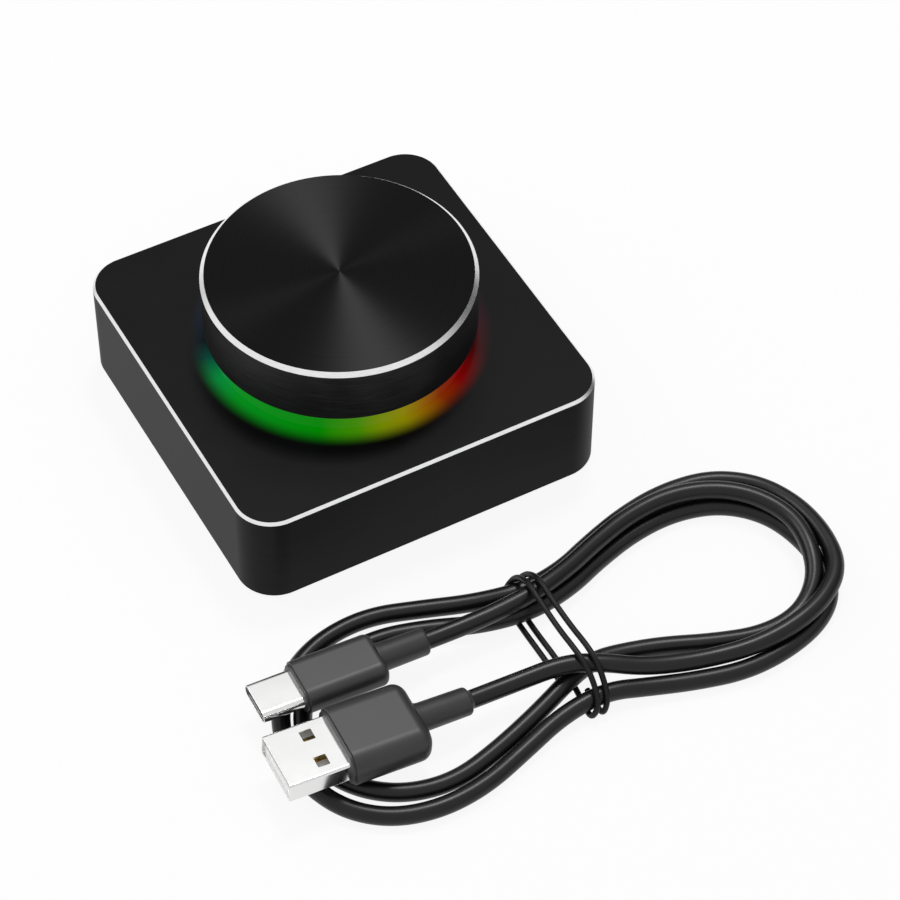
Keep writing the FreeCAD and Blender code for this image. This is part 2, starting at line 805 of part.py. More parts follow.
def makeDetent():
    # The rotor's rim has a notch for each click, and the sprung ring's two bumps ride just
    # above it.
    body = newBody("encoder_rotor")
    disc = drawCircles(sketchOn(body, "XY_Plane", rotorUnder), "dims.rotorRadius")
    addPad(body, disc, "dims.rotorHeight")
    bore = sketchOn(body, "XY_Plane", rotorTop)
    drawFlatRound(bore, "dims.stemRadius + dims.runningGap", "dims.stemFlat + dims.runningGap")
    addPocket(body, bore, "dims.rotorHeight")
    notch = sketchOn(body, "XY_Plane", rotorTop)
    drawCircles(notch, "dims.notchRadius", [("dims.rotorRadius", "0")])
    pocket = addPocket(body, notch, "dims.rotorHeight / 2")
    before = body.Shape.Volume
    pattern = body.newObject("PartDesign::PolarPattern", "notches")
    pattern.Originals = [pocket]
    pattern.Axis = (notch, ["N_Axis"])
    pattern.Angle = 360
    pattern.setExpression("Occurrences", "dims.notchCount")
    body.Tip = pattern
    checkCut(body, before)

    ringFoot = f"({rotorTop} + 0.2)"
    inner = addCylinder("springHole", "dims.clipRadius + 0.3", "0.25", z=ringFoot)
    outer = addCylinder("springDisc", "dims.canCavityRadius", "0.25", z=ringFoot)
    bumps = [
        addCylinder("springBump%d" % i, "0.2", "0.3", f"{side}dims.rotorRadius", "0", f"{ringFoot} - 0.15")
        for i, side in enumerate(("", "-"))
    ]
    keep("detent_spring", fuse("detent_spring", [cut("springRing", outer, inner)] + bumps))


def makeSwitchDome():
    # A snap dome of thin spring steel, flat on top where the shaft presses it.
    sheet = "0.15"
    turned(
        "switch_dome",
        [
            ("0", f"{stemBottom} - {sheet}"),
            ("1.15", f"{stemBottom} - {sheet}"),
            (f"dims.domeRadius - {sheet}", domeFoot),
            ("dims.domeRadius", domeFoot),
            ("dims.domeRadius", f"{domeFoot} + {sheet}"),
            ("1.25", stemBottom),
            ("0", stemBottom),
        ],
    )


def makeShaft():
    body = newBody("encoder_shaft")
    stem = sketchOn(body, "XY_Plane", stemBottom)
    drawFlatRound(stem, "dims.stemRadius", "dims.stemFlat")
    addPad(body, stem, f"{clipUnder} - {stemBottom}")
    groove = drawCircles(sketchOn(body, "XY_Plane", clipUnder), "dims.clipGroove")
    addPad(body, groove, "dims.clipThickness")
    barrel = drawCircles(sketchOn(body, "XY_Plane", clipTop), "dims.shaftRadius")
    addPad(body, barrel, f"dims.flatBottom - {clipTop}")
    flat = sketchOn(body, "XY_Plane", "dims.flatBottom")
    drawFlatRound(flat, "dims.shaftRadius", "dims.shaftFlat")
    addPad(body, flat, "dims.shaftTop - dims.flatBottom")

    ring = addCylinder("clipRing", "dims.clipRadius", "dims.clipThickness", z=clipUnder)
    inner = addCylinder("clipHole", "dims.clipGroove", "dims.clipThickness", z=clipUnder)
    mouth = addBlock(
        "clipMouth", "dims.clipRadius", "2 * dims.clipGroove - 0.6", "dims.clipThickness",
        "dims.clipRadius / 2 + 1", "0", clipUnder,
    )
    keep("shaft_clip", cut("shaft_clip", ring, fuse("clipOpening", [inner, mouth])))


# ---- knob ----


def makeKnob():
    innerRadius = "(dims.knobRadius - dims.knobWall)"
    turned(
        "knob_cap",
        [
            ("0", knobCeiling),
            (innerRadius, knobCeiling),
            (innerRadius, "dims.knobBottom"),
            ("dims.knobRadius - dims.knobFootChamfer", "dims.knobBottom"),
            ("dims.knobRadius", "dims.knobBottom + dims.knobFootChamfer"),
            ("dims.knobRadius", f"{knobTop} - dims.knobChamfer"),
            ("dims.knobRadius - dims.knobChamfer", knobTop),
            ("0", knobTop),
        ],
    )
    body = subparts["knob_cap"]
    thirds = [
        (
            f"dims.hubScrewCircle * {math.cos(angle):.9f}",
            f"dims.hubScrewCircle * {math.sin(angle):.9f}",
        )
        for angle in (math.pi / 2, math.pi * 7 / 6, math.pi * 11 / 6)
    ]
    taps = drawCircles(sketchOn(body, "XY_Plane", knobCeiling), "dims.screwRadius", thirds)
    addPocket(body, taps, "dims.hubTapDepth", reverse=True)

    hub = turned(
        "knob_hub",
        [
            ("0", "dims.hubBottom"),
            ("dims.hubRadius - 0.5", "dims.hubBottom"),
            ("dims.hubRadius", "dims.hubBottom + 0.5"),
            ("dims.hubRadius", flangeUnder),
            ("dims.hubFlangeRadius", flangeUnder),
            ("dims.hubFlangeRadius", knobCeiling),
            ("0", knobCeiling),
        ],
    )
    bore = sketchOn(hub, "XY_Plane", "dims.hubBottom")
    drawCircles(bore, "dims.shaftRadius")
    addPocket(hub, bore, "dims.flatBottom - dims.hubBottom", reverse=True)
    keyed = sketchOn(hub, "XY_Plane", "dims.flatBottom")
    drawFlatRound(keyed, "dims.shaftRadius", "dims.shaftFlat")
    addPocket(hub, keyed, "dims.shaftTop - dims.flatBottom", reverse=True)
    holes = drawCircles(sketchOn(hub, "XY_Plane", flangeUnder), "dims.screwHoleRadius", thirds)
    addPocket(hub, holes, "dims.hubFlangeThickness", reverse=True)
    screws = []
    for i, (x, y) in enumerate(thirds):
        start = f"{flangeUnder} - dims.headHeight"
        length = "dims.hubFlangeThickness + dims.hubTapDepth - 0.2"
        screws.append(screwUp("hubScrew%d" % i, x, y, start, length))
    group("hub_screws", screws)


# ---- USB-C socket ----


def makeSocket():
    # The shell is a flat oval tube, and its mouth is set back a little in the rear wall.
    body = newBody("usb_socket_shell")
    tube = sketchOn(body, "XZ_Plane", f"-{socketRear}")
    halfWidth, halfHeight = "(dims.socketWidth / 2)", "(dims.socketHeight / 2)"
    drawRounded(tube, halfWidth, halfHeight, f"{halfHeight} - 0.05", y=socketMiddle)
    addPad(body, tube, "dims.socketLength")
    hollow = sketchOn(body, "XZ_Plane", f"-{socketRear}")
    innerX, innerZ = f"({halfWidth} - dims.socketWall)", f"({halfHeight} - dims.socketWall)"
    drawRounded(hollow, innerX, innerZ, f"{innerZ} - 0.05", y=socketMiddle)
    addPocket(body, hollow, "dims.socketLength", reverse=True)

    body = newBody("usb_socket_tongue")
    block = sketchOn(body, "XZ_Plane", f"-({socketFront} + 1.4)")
    drawRounded(block, innerX, innerZ, f"{innerZ} - 0.05", y=socketMiddle)
    addPad(body, block, "1.4")
    tongue = sketchOn(body, "XZ_Plane", f"-({socketRear} - dims.tongueSetback)")
    tongueHalf, tongueRise = "(dims.tongueWidth / 2)", "(dims.tongueThickness / 2)"
    drawRounded(tongue, tongueHalf, tongueRise, "0.15", y=socketMiddle)
    addPad(body, tongue, "dims.socketLength - dims.tongueSetback - 1")


# ---- loose USB cable ----

# Hand-chosen points, in millimetres. The two leads run from the strain reliefs to the
# tie. The hank's outlines are those of the strands side by side on the ground, and the
# crests are where a strand lies on the others.
leadCRoute = [(-15.3, -61.5, 5.7), (-9, -61.8, 5.6), (-1, -62.0, 5.5), (5, -61.5, 5.4)]
leadARoute = [(-14.9, -76.9, 5.9), (-7, -77.2, 5.5), (1, -77.3, 5.4), (7, -77.2, 5.3)]
hankOutside = [
    (8, -56.2), (-3, -53), (-20, -46.4), (-37.5, -48.6), (-48, -59.2), (-50, -73),
    (-44.3, -88.8), (-30, -95.2), (-13, -91.7), (-2, -87.2), (8, -86.3), (24, -92),
    (42, -96.4), (58.8, -88.4), (64.8, -73), (61.4, -55.8), (45, -47), (27, -50),
]
hankInside = [
    (6, -64.9), (-4, -62.4), (-20, -55.5), (-32, -57), (-39.5, -62.5), (-41.6, -73),
    (-37, -81.6), (-24, -86.8), (-6, -82.1), (4, -78.3), (20, -77.2), (38, -84.2),
    (51, -82.4), (56.6, -72), (51, -60), (39, -55.6), (22, -60.2),
]
farCrest = [
    (3, -61.5), (15, -60.2), (28, -55.9), (41, -53.7), (52, -56.6), (59.4, -64.6),
    (60.7, -75.5), (56, -83.6), (48, -88.2),
]
nearCrest = [(5, -77.2), (12, -77.3), (20, -78.7)]


def roundedPath(name, corners, closed=False, rounding=None):
    # Straight runs joined by tangent arcs. An arc takes 45 % of the shorter run beside it,
    # or the length given as rounding.
    points = [FreeCAD.Vector(*corner) for corner in corners]
    count = len(points)
    arcs, radii = [], []
    for i in range(count) if closed else range(1, count - 1):
        at = points[i]
        before, after = at - points[i - 1], points[(i + 1) % count] - at
        taken = rounding or 0.45 * min(before.Length, after.Length)
        before.normalize()
        after.normalize()
        halfTurn = before.getAngle(after) / 2
        radius = taken / math.tan(halfTurn)
        inward = (after - before).normalize()
        middle = at + inward * (radius / math.cos(halfTurn) - radius)
        arcs.append((at - before * taken, middle, at + after * taken))
        radii.append(radius)
    edges = []
    last = arcs[-1][2] if closed else points[0]
    for start, middle, end in arcs:
        edges.append(Part.LineSegment(last, start).toShape())
        edges.append(Part.Arc(start, middle, end).toShape())
        last = end
    if not closed:
        edges.append(Part.LineSegment(last, points[-1]).toShape())
    print(f"{name}: least arc radius {min(radii):.1f} mm of", [round(r, 1) for r in radii])
    return Part.Wire(edges)


def sweepTube(name, path, radius):
    first = path.OrderedEdges[0]
    start = first.valueAt(first.FirstParameter)
    heading = first.tangentAt(first.FirstParameter)
    profile = Part.Wire(Part.Circle(start, heading, radius).toShape())
    tube = path.makePipeShell([profile], True, True)
    ratio = tube.Volume / (math.pi * radius**2 * path.Length)
    print(f"{name}: length {path.Length:.1f} mm, volume / (section x length) {ratio:.4f}")
    if abs(ratio - 1) > 0.01:
        raise ValueError(f"{name}: the tube's volume is off")
    return tube


def plugPlacement(plug):
    place = FreeCAD.Vector(*(value(f"dims.{plug}{axis}") for axis in "XYZ"))
    yaw, dip = value(f"dims.{plug}Yaw"), value(f"dims.{plug}Dip")
    return FreeCAD.Placement(place, FreeCAD.Rotation(yaw, dip, 0))


# Each plug is drawn with its axis along X, from its open end at x = 0 to the cable, and
# then put in its place.


def makePlugShell(label, halfY, halfZ, corner, reach):
    body = newBody(label)
    outline = sketchOn(body, "YZ_Plane")
    addPad(body, drawRounded(outline, halfY, halfZ, corner), reach)
    hollow = sketchOn(body, "YZ_Plane")
    drawRounded(
        hollow, f"{halfY} - dims.plugWall", f"{halfZ} - dims.plugWall", f"{corner} - dims.plugWall"
    )
    addPocket(body, hollow, reach, reverse=True)
    return body


def makeGrip(label, start, length, halfY, halfZ, corner, rearRound, shellY, shellZ, shellCorner):
    # The moulded grip, hollow in front where the metal shell goes in.
    body = newBody(label)
    outline = sketchOn(body, "YZ_Plane", start)
    addPad(body, drawRounded(outline, halfY, halfZ, corner), length)
    pocket = sketchOn(body, "YZ_Plane", start)
    addPocket(body, drawRounded(pocket, shellY, shellZ, shellCorner), "dims.plugInsert", reverse=True)
    dress(body, "Fillet", inPlane("X", f"{start} + {length}"), rearRound)
    atFront = inPlane("X", start)

    def outerFront(edge):
        box = edge.BoundBox
        wider = max(-box.YMin, box.YMax) > value(shellY) + 0.01
        higher = max(-box.ZMin, box.ZMax) > value(shellZ) + 0.01
        return atFront(edge) and (wider or higher)

    dress(body, "Chamfer", outerFront, "dims.gripChamfer")
    return body


def makeRelief(label, start, length):
    body = newBody(label)
    end = f"({start} + {length})"
    profile = [
        (start, "0"),
        (start, "dims.reliefRadius + 0.1"),
        (f"{end} - 0.4", "dims.reliefRadius"),
        (end, "dims.reliefRadius - 0.4"),
        (end, "0"),
    ]
    turnProfile(body, profile, axis="H_Axis")
    return body


def makePlugA():
    placement = plugPlacement("plugA")
    halfY, halfZ = "(dims.plugAWidth / 2)", "(dims.plugAHeight / 2)"
    reach = "dims.plugALength + dims.plugInsert"
    shell = makePlugShell("usb_a_shell", halfY, halfZ, "0.5", reach)
    windows = sketchOn(shell, "XY_Plane", halfZ)
    side = "dims.plugAWindowSide / 2"
    for sign in ("", "-"):
        middle = f"{sign}dims.plugAWindowY"
        drawRounded(windows, side, side, "0.1", x="dims.plugAWindowX", y=middle)
    addPocket(shell, windows, "dims.plugWall + 0.1")

    insulator = newBody("usb_a_insulator")
    innerY, innerZ = f"({halfY} - dims.plugWall)", f"({halfZ} - dims.plugWall)"
    block = sketchOn(insulator, "YZ_Plane", "dims.plugALength - 1")
    addPad(insulator, drawRounded(block, innerY, innerZ, "0.2"), "2.5")
    shelf = sketchOn(insulator, "YZ_Plane", "0.5")
    drawRounded(shelf, innerY, f"{innerZ} / 2", "0.2", y=f"-{innerZ} / 2")
    addPad(insulator, shelf, "dims.plugALength - 1")

    strips = [
        addBlock(
            "contact%d" % i, "dims.plugALength - 2.2", "1", "0.12",
            "dims.plugALength / 2 + 0.1", middle, "0",
        )
        for i, middle in enumerate(("-3.5", "-1", "1", "3.5"))
    ]
    contacts = group("usb_a_contacts", strips)

    start = "dims.plugALength"
    grip = makeGrip(
        "usb_a_overmold", start, "dims.gripALength", "(dims.gripAWidth / 2)",
        "(dims.gripAHeight / 2)", "dims.gripARound", "dims.gripARearRound", halfY, halfZ, "0.5",
    )
    relief = makeRelief(
        "usb_a_strain_relief", "(dims.plugALength + dims.gripALength)", "dims.reliefALength"
    )
    for piece in (shell, insulator, contacts, grip, relief):
        piece.Placement = placement


def makePlugC():
    placement = plugPlacement("plugC")
    halfY, halfZ = "(dims.plugCWidth / 2)", "(dims.plugCHeight / 2)"
    corner = f"({halfZ} - 0.05)"
    reach = "dims.plugCLength + dims.plugInsert"
    shell = makePlugShell("usb_c_shell", halfY, halfZ, corner, reach)

    insulator = newBody("usb_c_insulator")
    innerY, innerZ = f"({halfY} - dims.plugWall)", f"({halfZ} - dims.plugWall)"
    outline = sketchOn(insulator, "YZ_Plane", "0.3")
    drawRounded(outline, innerY, innerZ, f"{innerZ} - 0.05")
    addPad(insulator, outline, "dims.plugCLength + 1")
    slot = sketchOn(insulator, "YZ_Plane", "0.3")
    drawRounded(slot, "dims.plugCSlotWidth / 2", "dims.plugCSlotHeight / 2", "0.2")
    addPocket(insulator, slot, "dims.plugCLength - 1.5", reverse=True)

    start = "dims.plugCLength"
    grip = makeGrip(
        "usb_c_overmold", start, "dims.gripCLength", "(dims.gripCWidth / 2)",
        "(dims.gripCHeight / 2)", "dims.gripCRound", "dims.gripCRearRound", halfY, halfZ, corner,
    )
    relief = makeRelief(
        "usb_c_strain_relief", "(dims.plugCLength + dims.gripCLength)", "dims.reliefCLength"
    )
    for piece in (shell, insulator, grip, relief):
        piece.Placement = placement


def keepShape(label, shape):
    feature = doc.addObject("Part::Feature", label + "_shape")
    feature.Shape = shape
    return keep(label, feature)


def crowned(face, height):
    # The face raised to that height, with its top edges rounded off.
    solid = face.extrude(FreeCAD.Vector(0, 0, height))
    top = inPlane("Z", str(face.BoundBox.ZMin + height))
    return solid.makeFillet(value("dims.hankRound"), [edge for edge in solid.Edges if top(edge)])


def makeHank():
    # One solid with the outer shape of the wound cable, which stands open inside its loops.
    outlines = []
    for name, corners in (("hank outside", hankOutside), ("hank inside", hankInside)):
        outlines.append(Part.Face(roundedPath(name, [(x, y, 0) for x, y in corners], closed=True)))
    coil = crowned(outlines[0].cut(outlines[1]).Faces[0], value("dims.hankLow"))
    foot = 1.0
    for name, crest in (("far crest", farCrest), ("near crest", nearCrest)):
        path = roundedPath(name, [(x, y, foot) for x, y in crest])
        strip = Part.Face(path.makeOffset2D(value("dims.cableRadius")))
        coil = coil.fuse(crowned(strip, value("dims.hankHigh") - foot))
    # The tie's lower runs pass through a groove in the underside.
    wire = value("dims.tieWireRadius")
    groove = Part.makeBox(
        value("dims.tiePitch") + 3 * wire,
        abs(value("dims.tieFarY - dims.tieNearY")),
        2.1 * wire,
        FreeCAD.Vector(value("dims.tieX") - 1.5 * wire, value("dims.tieNearY"), 0),
    )
    keepShape("cable_hank", coil.cut(groove).removeSplitter())


def makeTie():
    # Two slanting turns of coated wire round both sides of the hank.
    wire, slant = value("dims.tieWireRadius"), value("dims.tieSlant")
    near, far, high = value("dims.tieNearY"), value("dims.tieFarY"), value("dims.hankHigh") + wire
    turns = []
    for i in range(2):
        x = value("dims.tieX") + i * value("dims.tiePitch")
        corners = [(x, near, wire), (x, far, wire), (x + slant, far, high), (x + slant, near, high)]
        name = "tie turn %d" % (i + 1)
        loop = roundedPath(name, corners, closed=True, rounding=value("dims.tieRound"))
        turns.append(sweepTube(name, loop, wire))
    keepShape("cable_tie", Part.Compound(turns))


def makeLeads():
    radius = value("dims.cableRadius")
    for label, route in (("lead_c", leadCRoute), ("lead_a", leadARoute)):
        keepShape(label, sweepTube(label, roundedPath(label, route), radius))


makeCasingShell()
makeBasePlate()
makeFeetAndScrews()
makeBallast()
makeMountingPlate()
makeSpacers()
makeMainBoard()
makeBoardParts()
makeLedBoard()
makeLightRing()
makeEncoderHousing()
makeEncoderFasteners()
makeDetent()
makeSwitchDome()
makeShaft()
makeKnob()
makeSocket()
makePlugA()
makePlugC()
makeHank()
makeTie()
makeLeads()

# ---- check and export ----

doc.recompute()
for item in doc.Objects:
    if "Invalid" in item.State or "Error" in item.State:
        raise ValueError(f"{item.Label} failed: {item.State}")
for label, piece in subparts.items():
    if piece.Shape.isNull() or not piece.Shape.isValid() or not piece.Shape.Solids:
        raise ValueError(f"{label} has no valid solid")

os.makedirs("parts", exist_ok=True)
for label, piece in subparts.items():
    piece.Shape.exportStep(f"parts/{label}.step")
    print(f"{label}: {len(piece.Shape.Solids)} solids, {piece.Shape.Volume:.1f} mm3")
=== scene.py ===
import json
import math
import bmesh
import bpy
from mathutils import Matrix, Vector


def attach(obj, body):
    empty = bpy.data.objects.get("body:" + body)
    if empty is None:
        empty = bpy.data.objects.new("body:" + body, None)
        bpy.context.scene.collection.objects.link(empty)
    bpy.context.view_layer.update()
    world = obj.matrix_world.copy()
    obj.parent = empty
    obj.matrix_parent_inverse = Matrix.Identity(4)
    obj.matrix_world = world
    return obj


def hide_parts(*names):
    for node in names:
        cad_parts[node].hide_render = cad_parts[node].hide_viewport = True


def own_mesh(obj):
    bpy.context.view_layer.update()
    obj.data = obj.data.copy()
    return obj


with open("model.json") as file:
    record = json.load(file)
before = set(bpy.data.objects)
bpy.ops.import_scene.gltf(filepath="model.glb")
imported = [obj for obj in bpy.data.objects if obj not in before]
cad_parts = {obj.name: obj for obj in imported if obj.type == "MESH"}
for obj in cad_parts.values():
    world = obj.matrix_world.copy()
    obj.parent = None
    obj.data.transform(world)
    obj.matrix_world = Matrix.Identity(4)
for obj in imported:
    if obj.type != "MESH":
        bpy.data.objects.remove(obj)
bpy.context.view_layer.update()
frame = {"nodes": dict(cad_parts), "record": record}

print("frame loaded:", len(frame["nodes"]), "nodes")

# Metres throughout. The knob turns about the Z axis and the floor is at z = 0.


camera = {
    "azimuth": -29.05,
    "elevation": 49.44,
    "roll": 0.45,
    "distance": 0.64967,
    "right": 0.02058,
    "up": -0.009114,
    "height": 0.0007,
    "lens": 135.6,
    "clip": (0.05, 100),
}


def makeCamera():
    angles = ("azimuth", "elevation", "roll")
    azimuth, elevation, roll = (math.radians(camera[key]) for key in angles)
    flat = math.cos(elevation)
    back = Vector((math.sin(azimuth) * flat, -math.cos(azimuth) * flat, math.sin(elevation)))
    right = Vector((math.cos(azimuth), math.sin(azimuth), 0))
    up = back.cross(right)
    place = back * camera["distance"] + right * camera["right"] + up * camera["up"]
    place.z += camera["height"]
    level = Matrix((right, up, back)).transposed()
    view = bpy.data.cameras.new("camera")
    view.lens = camera["lens"]
    view.clip_start, view.clip_end = camera["clip"]
    holder = bpy.data.objects.new("camera", view)
    bpy.context.collection.objects.link(holder)
    turn = (level @ Matrix.Rotation(roll, 3, "Z")).to_4x4()
    holder.matrix_world = Matrix.Translation(place) @ turn
    bpy.context.scene.camera = holder


makeCamera()

cable = {
    "diameter": 0.00345,
    "length": 0.689,
    "steps": 10,
    "roundness": 7,
}

cableRoute = [
    # from the small plug, over the tied bundle and round the right loop on top
    (-0.0158, -0.0615, 0.0057), (-0.0090, -0.0618, 0.0056), (-0.0010, -0.0620, 0.0059),
    (0.0070, -0.0615, 0.0062), (0.0152, -0.0593, 0.0057), (0.0233, -0.0559, 0.0051),
    (0.0322, -0.0532, 0.0049), (0.0408, -0.0528, 0.0051), (0.0490, -0.0554, 0.0052),
    (0.0550, -0.0608, 0.0053), (0.0582, -0.0683, 0.0053), (0.0572, -0.0762, 0.0052),
    (0.0543, -0.0823, 0.0038), (0.0484, -0.0862, 0.0021), (0.0402, -0.0867, 0.00173),
    (0.0315, -0.0839, 0.00173), (0.0234, -0.0803, 0.00173), (0.0168, -0.0783, 0.0018),
    (0.0107, -0.0774, 0.0023), (0.0047, -0.0792, 0.0029), (-0.0038, -0.0825, 0.0020),
    # the inner turn of the left loop
    (-0.0140, -0.0860, 0.00173), (-0.0235, -0.0884, 0.00173), (-0.0320, -0.0870, 0.00173),
    (-0.0386, -0.0827, 0.00173), (-0.0429, -0.0760, 0.00173), (-0.0432, -0.0680, 0.00173),
    (-0.0396, -0.0602, 0.00173), (-0.0320, -0.0552, 0.00173), (-0.0220, -0.0540, 0.00173),
    (-0.0125, -0.0565, 0.00173), (-0.0035, -0.0606, 0.0020), (0.0055, -0.0630, 0.0031),
    # the right loop again, now on the floor and out from under the rest
    (0.0148, -0.0612, 0.0025), (0.0233, -0.0575, 0.00173), (0.0325, -0.0550, 0.00173),
    (0.0415, -0.0546, 0.00173), (0.0497, -0.0570, 0.00173), (0.0556, -0.0626, 0.00173),
    (0.0582, -0.0698, 0.00173), (0.0586, -0.0776, 0.00173), (0.0566, -0.0845, 0.00173),
    (0.0509, -0.0892, 0.00173), (0.0425, -0.0917, 0.00173), (0.0332, -0.0921, 0.00173),
    (0.0240, -0.0897, 0.00173), (0.0165, -0.0872, 0.0020), (0.0083, -0.0848, 0.0030),
    (-0.0010, -0.0855, 0.0024),
    # the outer turn of the left loop
    (-0.0100, -0.0884, 0.00173), (-0.0195, -0.0916, 0.00173), (-0.0288, -0.0923, 0.00173),
    (-0.0373, -0.0900, 0.00173), (-0.0436, -0.0846, 0.00173), (-0.0469, -0.0768, 0.00173),
    (-0.0470, -0.0683, 0.00173), (-0.0440, -0.0598, 0.00173), (-0.0380, -0.0533, 0.00173),
    (-0.0300, -0.0496, 0.00173), (-0.0205, -0.0490, 0.00173), (-0.0110, -0.0522, 0.00173),
    (-0.0020, -0.0557, 0.0020), (0.0070, -0.0583, 0.0031),
    # the outside of the right loop, and over the bundle to the large plug
    (0.0156, -0.0568, 0.0024), (0.0233, -0.0535, 0.0018), (0.0321, -0.0507, 0.00173),
    (0.0413, -0.0493, 0.00173), (0.0511, -0.0506, 0.0018), (0.0582, -0.0563, 0.0023),
    (0.0614, -0.0646, 0.0033), (0.0615, -0.0739, 0.0045), (0.0592, -0.0821, 0.0052),
    (0.0530, -0.0871, 0.0053), (0.0452, -0.0895, 0.0050), (0.0365, -0.0896, 0.0041),
    (0.0280, -0.0876, 0.0035), (0.0210, -0.0856, 0.0038), (0.0155, -0.0837, 0.0046),
    (0.0100, -0.0809, 0.0059), (0.0037, -0.0782, 0.0064), (-0.0065, -0.0772, 0.0057),
    (-0.0145, -0.0769, 0.0059),
]


def makeWire(name, route, wire):
    # A round wire along a smooth line.
    curve = bpy.data.curves.new(name, "CURVE")
    curve.dimensions = "3D"
    curve.bevel_depth = wire["diameter"] / 2
    curve.bevel_resolution = wire["roundness"]
    curve.use_fill_caps = True
    line = curve.splines.new("NURBS")
    line.points.add(len(route) - 1)
    for point, place in zip(line.points, route):
        point.co = (*place, 1)
    line.order_u = 3
    line.use_endpoint_u = True
    line.resolution_u = wire["steps"]
    piece = bpy.data.objects.new(name, curve)
    bpy.context.collection.objects.link(piece)
    return piece


cableCord = makeWire("cable_cord", cableRoute, cable)
print("camera and cable made")


def addNode(tree, kind, **settings):
    node = tree.nodes.new("ShaderNode" + kind)
    for key, setting in settings.items():
        setattr(node, key, setting)
    return node


def startMaterial(name, roughness, metallic=0.0, specular=0.5):
    made = bpy.data.materials.new(name)
    made.use_nodes = True
    tree = made.node_tree
    shader = tree.nodes["Principled BSDF"]
    shader.inputs["Roughness"].default_value = roughness
    shader.inputs["Metallic"].default_value = metallic
    shader.inputs["Specular IOR Level"].default_value = specular
    return made, tree, shader


def objectPlace(tree, stretch=(1, 1, 1)):
    place = addNode(tree, "TexCoord").outputs["Object"]
    mapping = addNode(tree, "Mapping")
    mapping.inputs["Scale"].default_value = stretch
    tree.links.new(place, mapping.inputs["Vector"])
    return mapping.outputs["Vector"]


def noiseFrom(tree, place, grain, detail=3.0):
    # grain is the size of a blotch in metres.
    noise = addNode(tree, "TexNoise")
    noise.inputs["Scale"].default_value = 1 / grain
    noise.inputs["Detail"].default_value = detail
    tree.links.new(place, noise.inputs["Vector"])
    return noise.outputs["Fac"]


def spanOf(tree, source, low, high, start=0.3, end=0.7, smooth=False):
    # Spreads start to end over low to high. Most of a noise lies between 0.3 and 0.7.
    span = addNode(tree, "MapRange")
    span.clamp = True
    if smooth:
        span.interpolation_type = "SMOOTHSTEP"
    for name, number in (("From Min", start), ("From Max", end), ("To Min", low), ("To Max", high)):
        span.inputs[name].default_value = number
    tree.links.new(source, span.inputs["Value"])
    return span.outputs["Result"]


def blendColours(tree, share, first, second):
    # Inputs 6 and 7 and output 2 are the node's colours.
    blend = addNode(tree, "Mix", data_type="RGBA", blend_type="MIX")
    for socket, colour in ((blend.inputs[6], first), (blend.inputs[7], second)):
        if isinstance(colour, tuple):
            socket.default_value = (*colour, 1)
        else:
            tree.links.new(colour, socket)
    tree.links.new(share, blend.inputs[0])
    return blend.outputs[2]


def paint(tree, shader, pattern, look):
    # Two close colours and an uneven gloss, laid by a pattern.
    share = spanOf(tree, pattern, 0.0, 1.0)
    colour = blendColours(tree, share, look["colour"], look["other"])
    tree.links.new(colour, shader.inputs["Base Color"])
    if look["uneven"]:
        low, high = look["roughness"] - look["uneven"], look["roughness"] + look["uneven"]
        tree.links.new(spanOf(tree, pattern, low, high), shader.inputs["Roughness"])


def calculate(tree, operation, *numbers):
    node = addNode(tree, "Math", operation=operation)
    for socket, number in zip(node.inputs, numbers):
        if isinstance(number, (int, float)):
            socket.default_value = number
        else:
            tree.links.new(number, socket)
    return node.outputs[0]


def raiseBumps(tree, shader, height, look):
    bump = addNode(tree, "Bump")
    bump.inputs["Strength"].default_value = look["bump"]
    bump.inputs["Distance"].default_value = look["depth"]
    tree.links.new(height, bump.inputs["Height"])
    tree.links.new(bump.outputs["Normal"], shader.inputs["Normal"])


# What a finish has where it doesn't say otherwise.
usualFinish = {
    "metallic": 0.0,
    "specular": 0.5,
    "stretch": (1, 1, 1),
    "blotch": 0.004,
    "uneven": 0.06,
    "grain": 0.0002,
    "detail": 2.0,
    "depth": 0.00001,
    "bump": 0.5,
}


def grained(name, finish):
    # Most finishes: two close colours in soft blotches, an uneven gloss and a fine grain.
    look = {**usualFinish, **finish}
    made, tree, shader = startMaterial(name, look["roughness"], look["metallic"], look["specular"])
    place = objectPlace(tree, look["stretch"])
    blotch = noiseFrom(tree, place, look["blotch"])
    paint(tree, shader, blotch, look)
    raiseBumps(tree, shader, noiseFrom(tree, place, look["grain"], look["detail"]), look)
    return made


def radiusOf(tree, place):
    # Distance from the Z axis.
    parts = addNode(tree, "SeparateXYZ")
    tree.links.new(place, parts.inputs[0])
    squares = [calculate(tree, "MULTIPLY", parts.outputs[i], parts.outputs[i]) for i in (0, 1)]
    return calculate(tree, "SQRT", calculate(tree, "ADD", *squares))


